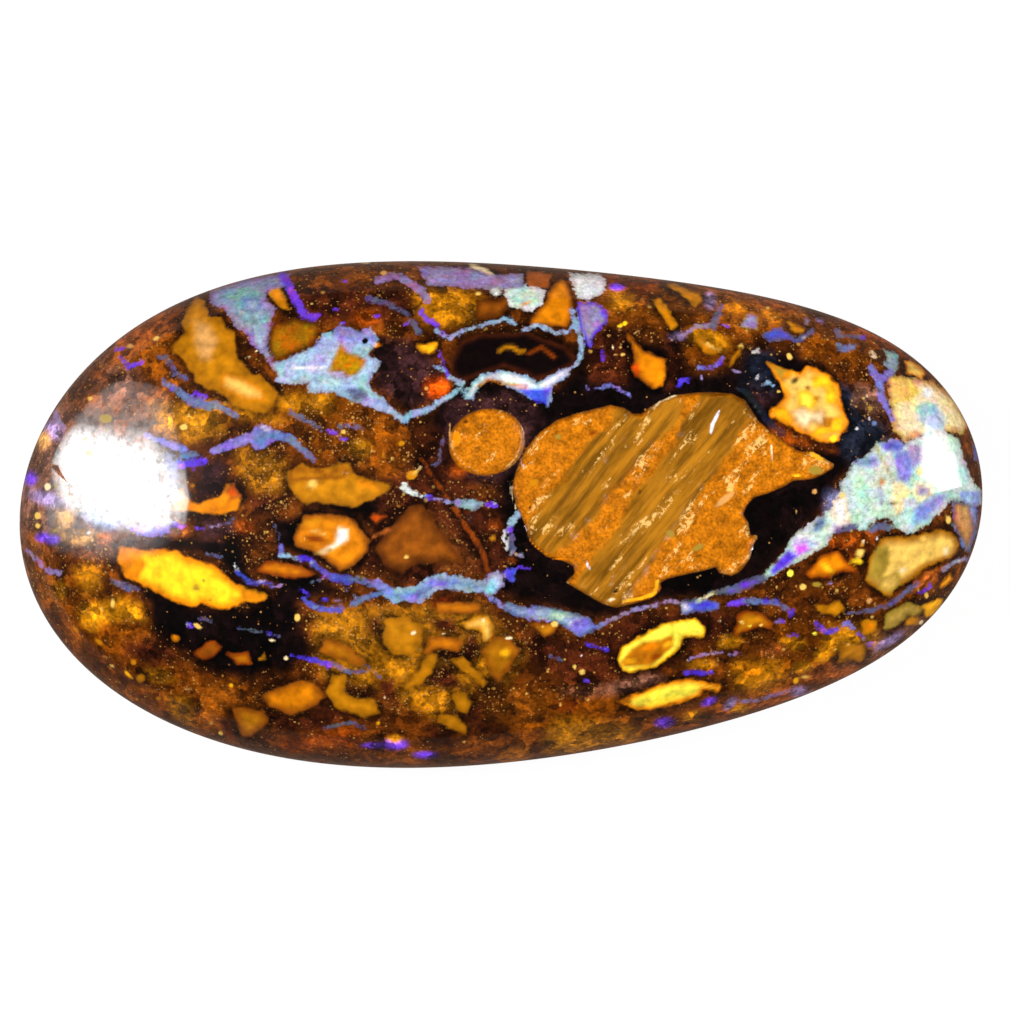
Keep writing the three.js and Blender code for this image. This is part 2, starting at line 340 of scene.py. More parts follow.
        ("chestnut", 0.3, [0.2, -7, 1.6, -7.1, 1.9, -7.9, 0.4, -8.2, -0.7, -7.9]),
        ("night", 0.3, [-9.2, -4.5, -7.6, -4.6, -7.4, -5.6, -8.6, -6.3, -9.6, -5.8]),
        ("night", 0.3, [7, -2.6, 9.6, -2, 10.7, -0.8, 11, -1.7, 9.9, -2.9, 8, -3.4]),
        ("maroon", 0.5, [-3.4, 3.6, -2.4, 3.2, -1.6, 0.8, -0.2, -0.4, 0.2, -2.2, -2.4, -0.6, -3.4, 1.0]),
        ("maroon", 0.3, [-4.9, 1.3, -3.6, 1.6, -2.6, 0.6, -3.2, 0.2, -4.8, 0.5]),
        ("maroon", 0.3, [-4, -1.9, -2.4, -2, -2.3, -2.8, -4, -2.8]),
        ("bronze", 0.35, [-10.8, 4.3, -9.4, 4.2, -8.6, 3.7, -10.6, 3.8]),
        ("golden", 0.5, [2.2, -9, 5, -8.7, 5.6, -9.1, 1.8, -9.8]),
        ("golden", 0.4, [12.9, -4.6, 14.4, -4.4, 15.2, -4.9, 14, -5.5, 12.8, -5.3]),
        ("slate", 0.25, [12.8, 0.9, 13.3, 0.9, 13.2, 0.2, 12.8, 0.1]),
        # painted glow: the faint reflection of the left window just above its highlight
        ("haze", 0.5, [-15.9, 5.6, -14.6, 5.8, -14.2, 4.8, -15.4, 4.5]),
    ],
    "spots": [
        ("violet", -18.75, 1.45, 0.5, 0.5, 0), ("mauve", -17.9, 3.4, 0.9, 0.6, -40),
        ("tan", -18.25, 3, 0.6, 0.7, 0), ("tan", -17.3, 0.1, 0.7, 1.3, 0),
        ("mauve", -17.9, 0.6, 1.6, 0.5, -15), ("tan", -16.6, -0.9, 1.3, 0.5, 0),
        ("steel", -15.8, -0.1, 1.4, 0.7, -20), ("violet", -18.2, -0.9, 0.5, 0.3, 0),
        ("violet", -17.8, -1, 0.5, 0.3, 0), ("golden", -17.5, -3, 0.5, 0.6, 0),
        ("bronze", -12.6, -7.8, 0.7, 0.8, 0), ("bronze", -13.6, -6.4, 1.1, 0.5, -10),
        ("redBrown", -15.95, 5.55, 0.8, 0.4, -20), ("rust", -10.05, -0.5, 0.7, 0.6, 0),
        ("rust", -5.3, 7.8, 0.9, 0.6, 0), ("golden", -5.55, 2.6, 0.8, 0.6, 0),
        ("ember", -2.55, 5, 0.8, 0.7, 0), ("rust", -1.65, 1.85, 0.7, 0.6, 0),
        ("redBrown", -12.7, -0.75, 0.8, 0.35, 0), ("redBrown", -15.7, -0.95, 0.6, 0.4, 0),
        ("rust", -0.25, -0.65, 0.5, 0.8, 0), ("rust", 0.4, -1.8, 0.4, 0.2, 0),
        ("ember", -2.2, -3.5, 0.7, 0.4, 0), ("amber", 9.3, 8.2, 0.8, 0.5, 0),
        ("amber", 10.8, 7.9, 0.7, 0.4, -20), ("redBrown", 10.6, 8.4, 1.6, 0.4, -15),
        ("violet", 4.6, 9.05, 0.5, 0.25, 0), ("mauve", 8.3, 8.5, 0.45, 0.6, 0),
        ("mauve", 7, 7.05, 0.6, 0.3, 0), ("golden", 8.2, 6.9, 1.4, 0.7, -20),
        ("golden", 7.7, 7.1, 0.6, 0.5, 0), ("rust", 2.6, -7.55, 0.8, 0.5, 0),
        ("violet", -3, -9.55, 0.8, 0.25, 0), ("violet", -4.2, -9.1, 0.8, 0.35, 0),
        ("violet", -5, -9.15, 0.8, 0.2, 0), ("golden", 9, -5, 0.8, 0.5, 10),
        ("golden", 7.6, -8, 0.6, 0.35, 10), ("redBrown", 8.8, -8.1, 0.8, 0.35, 10),
        ("golden", 9.5, -7.75, 0.7, 0.4, 0), ("golden", 11.5, -5.1, 0.9, 0.5, 0),
        ("golden", 12.7, -5.55, 0.6, 0.5, 0), ("bronze", 7.9, -5.9, 1, 0.35, 0),
        ("violet", 6.5, -8.25, 0.6, 0.35, 0), ("redBrown", 10.8, -5.35, 1.1, 0.5, 0),
        ("violet", 8.25, -7.4, 0.5, 0.25, 20), ("mauve", 9.1, -7.5, 0.5, 0.3, 50),
        ("mauve", 11.9, -7.05, 0.7, 0.4, 0), ("amber", 9.9, -6.2, 0.7, 0.4, 0),
        ("golden", 11.95, -6.05, 0.7, 0.4, 0), ("golden", -4.2, -8.9, 0.5, 0.3, 0),
        ("maroon", -7, 6.1, 0.1, 0.1, 0), ("redBrown", -0.15, 5.95, 0.7, 0.25, 0),
        ("mauve", 15.5, -5, 1.2, 0.35, 30), ("haze", 16.4, -4.5, 0.9, 0.5, 40),
    ],
}

# Honey-coloured jasper, tan and rust patches: colour at the edge, colour inside, how deep that lies, outline
patchMarks = {
    "areas": [
        ("bronze", "golden", 0.6, [
            -12.2, 8.7, -12.7, 7.6, -12.5, 7.2, -13, 6.7, -13, 6.4, -12.7, 6.3, -12.1, 5.5, -12, 5.2,
            -10.8, 4.6, -10.5, 4.3, -9.6, 4, -9.2, 4.1, -8.9, 4.4, -8.8, 4.8, -9.5, 5.5, -9.8, 5.5,
            -10.1, 5.8, -10.5, 6.4, -10.5, 7.2, -10.9, 7.4, -11.1, 7.8, -11.6, 7.9, -11.8, 8.5]),
        ("golden", "tan", 0.4, [-12.3, 7.9, -11.5, 7.7, -11, 6.9, -11.4, 5.9, -12, 6, -12.3, 6.8]),
        ("amber", "straw", 0.3, [-11, 5.6, -10.2, 5.4, -9.4, 4.9, -9.2, 4.5, -10, 4.5, -11, 5]),
        ("golden", "amber", 0.2, [-9.3, 9, -8.8, 9, -8.3, 8.1, -8.6, 8.1, -9.2, 8.7]),
        ("chestnut", "amber", 0.25, [
            2.4, 9.4, 2.6, 9.2, 2.8, 8.6, 2.8, 7.8, 2.6, 7.4, 1.2, 7.5, 1.2, 7.7, 1.8, 8.5, 2, 9]),
        ("umber", "chestnut", 0.3, [-1, 8.5, 0, 8.5, 0.4, 8.9, 0.4, 8.4, 0, 7.8, -1, 7.7]),
        ("redBrown", "redBrown", 0.3, [1, 9.7, 2, 9.6, 1.9, 9, 1.1, 9]),
        ("maroon", "night", 0.25, [  # almond
            -1.9, 6.2, -1.6, 6.8, -0.9, 7.1, 1, 7.2, 2.6, 6.6, 2.9, 6.2, 2.9, 5.9, 1.8, 5.4, 1.3, 5.3, 1, 5.5,
            0.1, 5.8, -1.6, 5.2, -2, 5.6, -2, 6]),
        ("golden", "honey", 0.15, [-3.3, 6.7, -2.5, 6.8, -2.6, 6.4, -2.8, 6.3, -3.1, 6.4]),
        ("chestnut", "amber", 0.25, [  # teardrop
            5, 7.1, 5.6, 6.5, 6.5, 6.1, 6.5, 5.5, 6.2, 5, 5.8, 5.1, 5.2, 5.6, 5.3, 6.3, 5, 6.9]),
        ("amber", "orange", 0.2, [6.2, 6.1, 6.4, 6, 6.5, 5.5, 6.3, 5.1, 6, 5]),
        ("ember", "ember", 0.2, [5.15, 5.85, 5.4, 6, 5.5, 5.6, 5.3, 5.45]),
        ("golden", "amber", 0.3, [6.6, 9.2, 7.7, 8.3, 8, 8.5, 7.8, 8.8, 7.2, 9, 6.9, 9.2]),
        ("golden", "orange", 0.3, [6, 8.5, 6.3, 8.6, 7, 7.5, 6.7, 7.3]),
        ("golden", "amber", 0.2, [11.35, 7.65, 12.1, 7.4, 12, 7.2, 11.65, 7.2]),
        ("bronze", "amber", 0.25, [7.6, 7, 8, 7, 8, 6.8, 8.4, 6.7, 8.6, 6.4, 8.5, 6.3, 8, 6.4]),
        ("bronze", "amber", 0.15, [9.5, 6.7, 9.4, 6.3, 9, 5.8, 9.1, 6.2]),
        ("orange", "straw", 0.4, [  # golden crystals
            10.5, 6, 11.8, 5.6, 12.1, 5.9, 12.8, 5.6, 13.3, 5.1, 13.4, 4.8, 13.4, 4.4, 13.7, 3.6, 13.3, 2.9,
            12.6, 2.9, 11.3, 3.5, 10.9, 3.8, 10.6, 3.8, 10.6, 4, 11, 4.4, 11.2, 4.6, 11.2, 4.8]),
        ("golden", "olive", 0.2, [10.5, 6, 11.5, 5.7, 11.1, 5.2]),
        ("honey", "lemon", 0.3, [11.7, 4.9, 12.2, 4.9, 12.5, 4.4, 12.2, 4.1, 11.7, 4.2]),
        ("honey", "yellow", 0.3, [12.3, 5.5, 12.9, 5.5, 13.3, 4.9, 13.2, 4.3, 12.8, 4.4, 12.8, 5, 12.3, 5]),
        ("orange", "honey", 0.2, [12.8, 3.8, 13.5, 3.9, 13.6, 3.3, 12.2, 3, 12.3, 3.3]),
        ("amber", "honey", 0.2, [10.7, 4.2, 11.2, 4.3, 11.6, 3.7, 11.4, 3.5, 10.8, 3.8]),
        ("tan", "cream", 0.3, [
            11.4, 4.1, 11.9, 4.3, 12.3, 4.1, 12.8, 4.2, 12.8, 3.5, 12.3, 3.6, 12, 3.3, 11.6, 3.6]),
        ("chestnut", "golden", 0.2, [12.7, 3.8, 13.1, 3.8, 13, 3.4, 12.7, 3.5]),
        ("amber", "straw", 0.2, [16.1, 6.1, 16.3, 6.2, 16.8, 5.8, 16.9, 5.6, 16.7, 5.4, 16.1, 5.6]),
        ("orange", "yellow", 0.45, [  # the long yellow lens
            -14.8, -1.3, -13.6, -1.4, -12.8, -1.4, -12.4, -1.7, -11.3, -2, -10.2, -2.9, -9.2, -3.2,
            -9.2, -3.3, -9.6, -3.4, -10.2, -3.4, -10.4, -3.6, -11, -3.7, -11.8, -3.5, -12.2, -3.6, -13, -3.4,
            -13.8, -2.9, -14.8, -2.5, -15.1, -1.9]),
        ("amber", "orange", 0.3, [-15.1, -1.3, -14.3, -1.3, -14, -2, -14.4, -2.6, -14.8, -2.5, -15.1, -1.9]),
        ("golden", "amber", 0.2, [-10.3, -2.8, -9.3, -3.1, -9.2, -3.3, -9.6, -3.4, -10.2, -3.4]),
        ("amber", "orange", 0.25, [
            -13, 0.7, -12.9, 1, -12.6, 1, -12.2, 0.5, -11.9, 0.4, -11, 0.7, -10.8, 1.2, -10.5, 1.1,
            -10.2, 0.6, -10.4, 0.2, -11, 0, -12.9, 0.2]),
        ("tan", "straw", 0.3, [-13, 0.8, -12.6, 1, -12.3, 0.5, -12.4, 0.1, -12.9, 0.2]),
        ("redBrown", "ember", 0.2, [-10.9, 1, -10.5, 1.2, -10.2, 0.7, -10.6, 0.6]),
        ("bronze", "golden", 0.4, [  # arrow-shaped patch
            -8.4, 1.7, -7.8, 2, -7.1, 1.7, -6.4, 2, -6, 2, -5.7, 1.5, -4.3, 1.2, -4.4, 1, -5, 0.6, -5.8, 0.3,
            -7.4, 0.5, -7.6, 0.4, -8.3, 1]),
        ("chestnut", "golden", 0.3, [
            -8.3, 1.8, -7.2, 1.8, -6.8, 1.6, -6.3, 1.9, -5.9, 1.7, -6.2, 1.4, -8.3, 1.3]),
        ("amber", "amber", 0.2, [-5.6, 1.4, -4.9, 1.25, -4.9, 1, -5.6, 1.1]),
        ("chestnut", "amber", 0.35, [  # round nodule
            -8.1, -1, -8.1, -0.7, -7.7, 0, -6.8, 0, -6, -0.1, -5.6, -0.4, -5.2, -1, -5.2, -1.4, -5.7, -2,
            -6.3, -2.2, -7.1, -1.6, -8.1, -1.2]),
        ("cream", "white", 0.1, [-6.4, -0.5, -6, -0.6, -6, -1, -6.9, -1.5, -7.2, -1.5, -6.5, -1.1]),
        ("rust", "amber", 0.35, [
            -9.6, -2.2, -9.3, -1.9, -8.9, -1.8, -7.9, -2, -7.3, -2.3, -7.4, -2.4, -7.9, -2.5, -8.9, -2.4]),
        ("rust", "ember", 0.15, [-5.15, -0.15, -5.05, 0.05, -4.45, -0.05, -4.9, -0.35]),
        ("umber", "chestnut", 0.5, [
            -5, -1.3, -3.6, 0.3, -3.1, 0.4, -1.4, -1.9, -3.2, -1.9, -3.9, -2.3, -4.6, -1.9]),
        ("honey", "lemon", 0.14, [  # first bright lens
            4.6, -5.8, 4.8, -5.2, 6.4, -4.3, 7.6, -4.1, 8, -4.4, 8, -4.8, 7.2, -4.8, 7, -5.3, 6.7, -5.5,
            6.1, -6, 5, -6.2, 4.8, -6.1]),
        ("golden", "clay", 0.2, [
            4.7, -5.8, 5.1, -5.3, 5.6, -5, 6.3, -4.9, 6.7, -4.7, 6.8, -4.8, 6.8, -5.2, 5.9, -6, 5.1, -6,
            4.8, -6]),
        ("orange", "lemon", 0.3, [  # second bright lens
            4.6, -7.4, 6.3, -6.7, 6.8, -6.6, 7.5, -6.5, 8.7, -6.8, 8.6, -7, 8, -6.9, 7.8, -7.2, 6.1, -7.7,
            5.3, -7.7]),
        ("yellow", "lemon", 0.15, [5.7, -7.1, 6.3, -6.8, 6.2, -7.3, 6.9, -7.2, 6.6, -7.4, 5.9, -7.6]),
        ("chestnut", "golden", 0.3, [4.6, -7.4, 5.1, -7.15, 5.2, -7.5, 4.8, -7.5]),
        ("rust", "golden", 0.3, [
            9.3, -4, 9.6, -3.8, 10, -3.8, 10.3, -3.9, 10.7, -4.3, 10.6, -4.5, 10.2, -4.4, 9.2, -4.8,
            9.2, -4.5, 9.3, -4.3]),
        ("bronze", "straw", 0.5, [  # long tan patch at the narrow end
            15, -1, 15.2, -0.9, 16.1, -0.9, 17.4, -0.6, 17.8, -0.7, 18.1, -0.9, 18.2, -1.2, 18.1, -1.5,
            17.9, -1.7, 16.8, -2.1, 16.1, -2.7, 15.8, -2.8, 15.5, -3, 15.5, -3.2, 15.2, -3.2, 14.4, -2.6,
            14.6, -1.7]),
        ("straw", "straw", 0.2, [16.1, -1.2, 17.9, -1, 17.9, -1.5, 16.9, -1.8, 15.9, -2.3, 15.5, -2]),
        ("olive", "olive", 0.2, [14.8, -1.3, 15.3, -1.2, 15.4, -1.9, 15, -2.6, 14.5, -2.5]),
        ("olive", "straw", 0.3, [15, -2.5, 15.8, -2.2, 15.8, -2.8, 15.4, -3.1, 14.9, -2.9]),
        ("rust", "orange", 0.3, [
            12, -2.3, 12.6, -1.6, 13.3, -1.4, 13.6, -1.8, 14.2, -2.3, 13.6, -2.2, 12.8, -2.5, 12.2, -2.5]),
        ("amber", "honey", 0.15, [17.45, -2.75, 17.85, -2.35, 17.95, -2.55, 17.75, -2.8, 17.5, -2.9]),
        ("honey", "honey", 0.2, [16.7, -3.6, 17.4, -3.4, 17.6, -3.4, 17.6, -3.7, 17.1, -4.1, 16.9, -4]),
        ("olive", "straw", 0.5, [
            15.2, -4, 16.1, -3.5, 16.7, -3.7, 16.8, -3.9, 16.4, -4, 16.1, -4, 16, -4.2, 15.5, -4.5,
            15.2, -4.5]),
        ("golden", "amber", 0.2, [14.2, -4.2, 14.9, -4.2, 14.9, -4.6, 14.4, -4.8]),
        ("bronze", "golden", 0.2, [12.4, -3.5, 12.9, -3.6, 13.3, -3.4, 13.6, -3.7, 13.3, -4, 12.5, -3.8]),
        ("bronze", "golden", 0.3, [13.5, -5.2, 14.4, -5.1, 14.5, -5.5, 14.3, -5.9, 13.9, -5.7, 13.4, -5.9]),
        ("rust", "chestnut", 0.2, [
            -12.1, -5.5, -11.6, -5, -11.3, -5, -11, -5.2, -11.1, -5.4, -11.4, -5.6, -11.8, -5.7]),
        ("rust", "golden", 0.3, [-10.8, -5.5, -10.3, -5.5, -10, -5.4, -9.8, -5.9, -10.4, -5.9]),
        ("golden", "honey", 0.1, [-9.55, -5.75, -9.3, -5.45, -9.3, -5.65]),
        ("chestnut", "golden", 0.5, [
            -7, -4.8, -6, -5.2, -5.3, -5.8, -5.6, -5.9, -5.9, -5.9, -7.2, -5.4, -7, -5.2]),
        ("bronze", "golden", 0.4, [
            -4.6, -4.1, -3.6, -4, -3.2, -4.3, -3.1, -4.9, -3.4, -5.5, -4.2, -5.5, -4.4, -5.3, -4.6, -5]),
        ("chestnut", "amber", 0.4, [
            -9.4, -7.2, -9.2, -7, -7.8, -6.5, -7.4, -6.6, -6.9, -7.2, -7.8, -7.8, -8.2, -7.9, -9.2, -7.6]),
        ("bronze", "golden", 0.3, [
            -6.9, -6.9, -6.6, -6.3, -6.1, -6.3, -6.2, -7, -5.6, -7.3, -5, -7.2, -4.8, -7.8, -5.4, -8,
            -6.6, -7.6]),
        ("chestnut", "golden", 0.5, [
            -10.6, -7.7, -10.3, -7.6, -9.4, -7.8, -9.2, -8.1, -9.3, -8.3, -9.9, -8.8, -10.3, -8.8]),
        ("chestnut", "amber", 0.3, [-2.5, -3.4, -0.8, -3.5, -0.8, -3.8, -1.6, -3.9, -2.6, -3.8]),
        ("chestnut", "amber", 0.4, [-2.9, -4.8, -2, -4.8, -1.5, -5, -1.7, -5.4, -2.4, -5.3, -3, -5.5]),
        ("golden", "straw", 0.3, [
            -1.6, -4.3, -0.9, -4, -0.5, -4, -0.3, -4.5, -0.4, -5, -0.7, -5, -0.8, -4.5, -1.3, -4.5]),
        ("chestnut", "bronze", 0.3, [
            -0.6, -5.1, -0.3, -4.8, 0.1, -4.8, 0.8, -5.3, -0.1, -6.6, -0.3, -6.4, -0.6, -5.8, -0.8, -5.4]),
        ("bronze", "golden", 0.3, [-2, -5.7, -1.5, -5.6, -0.5, -6.6, -0.7, -6.8]),
        ("bronze", "golden", 0.3, [
            -3.8, -6.7, -3.2, -6.2, -2.9, -5.5, -2.5, -5.5, -2.7, -6.2, -3.2, -6.7, -3.7, -6.9]),
        ("bronze", "golden", 0.3, [-1.9, -7.1, -1.4, -7, -1.1, -7.4, -1.4, -7.8, -1.8, -7.6]),
        ("bronze", "golden", 0.3, [-2.4, -7.9, -1.8, -7.9, -1.3, -8.4, -1.4, -8.7, -2.5, -8.2]),
        ("chestnut", "golden", 0.2, [1.1, -4.3, 2.3, -4.3, 2, -4.7, 1.7, -4.8]),
    ],
    "lines": [
        ("rust", (0.1, 0.12, 0.1), [-3.15, 2.2, -2.05, 0.6]),
        ("rust", (0.1, 0.16, 0.2, 0.1), [-1.85, 0.3, -0.7, -1.5, -0.5, -2.25]),
        ("redBrown", (0.1,), [-4.95, -0.85, -4.15, -0.5]),
        ("golden", (0.12, 0.1), [-0.05, 6.45, 0.15, 6.6, 0.45, 6.6, 0.75, 6.4, 0.9, 6.45]),
        ("rust", (0.1,), [1.1, 6.35, 1.6, 6.6, 2.1, 6.2]),
        ("cream", (0.2,), [-1.15, 9.9, -0.5, 9.6, -0.05, 9]),
        ("straw", (0.06,), [-7.45, -0.6, -6.95, -0.75]),
        ("olive", (0.12, 0.06), [-6.7, -1.4, -7.3, -1.5]),
    ],
    "spots": [
        ("straw", -7.4, 1.2, 0.35, 0.3, 0), ("rust", -7.3, -0.95, 0.9, 0.3, -10),
        ("golden", -7.4, -0.3, 0.8, 0.25, 10), ("olive", -12, -2.9, 0.25, 0.2, 0),
        ("straw", 8.3, 6.65, 0.4, 0.1, -25), ("straw", 9.5, 6.65, 0.15, 0.12, 0),
        ("orange", 5.9, -5.2, 0.6, 0.3, 10), ("honey", 6.55, -5.1, 0.3, 0.15, 30),
        ("honey", 5.1, -5.75, 0.4, 0.15, 0), ("rust", 6.1, -5.6, 0.5, 0.25, 20),
        ("yellow", 12.85, -2.1, 0.5, 0.2, -35), ("honey", 0.15, -5.45, 0.35, 0.3, 0),
        ("night", 11.6, 5.3, 0.35, 0.2, 40), ("orange", 11.3, 5.5, 0.3, 0.25, 0),
        ("brown", 12.1, 5, 0.2, 0.15, 0), ("golden", 12.45, 4.6, 0.25, 0.2, 0),
        ("orange", -5, 6.7, 0.4, 0.2, 0), ("straw", 16.75, -0.95, 0.25, 0.15, 0),
        ("cream", 17.65, -1.45, 0.2, 0.3, 15), ("straw", 17.3, -1.1, 0.25, 0.2, 0),
        ("cream", 15.9, -2.2, 0.25, 0.18, 0), ("golden", 16.35, -4.25, 0.5, 0.28, 0),
        ("golden", -0.3, -0.9, 0.15, 0.2, 0), ("yellow", 14.05, -1.85, 0.35, 0.2, -10),
        ("straw", 14.15, -1.5, 0.3, 0.2, 20), ("golden", -14.3, -6.5, 0.3, 0.28, 0),
        ("amber", -12.85, -4.85, 0.25, 0.22, 0),
    ],
}

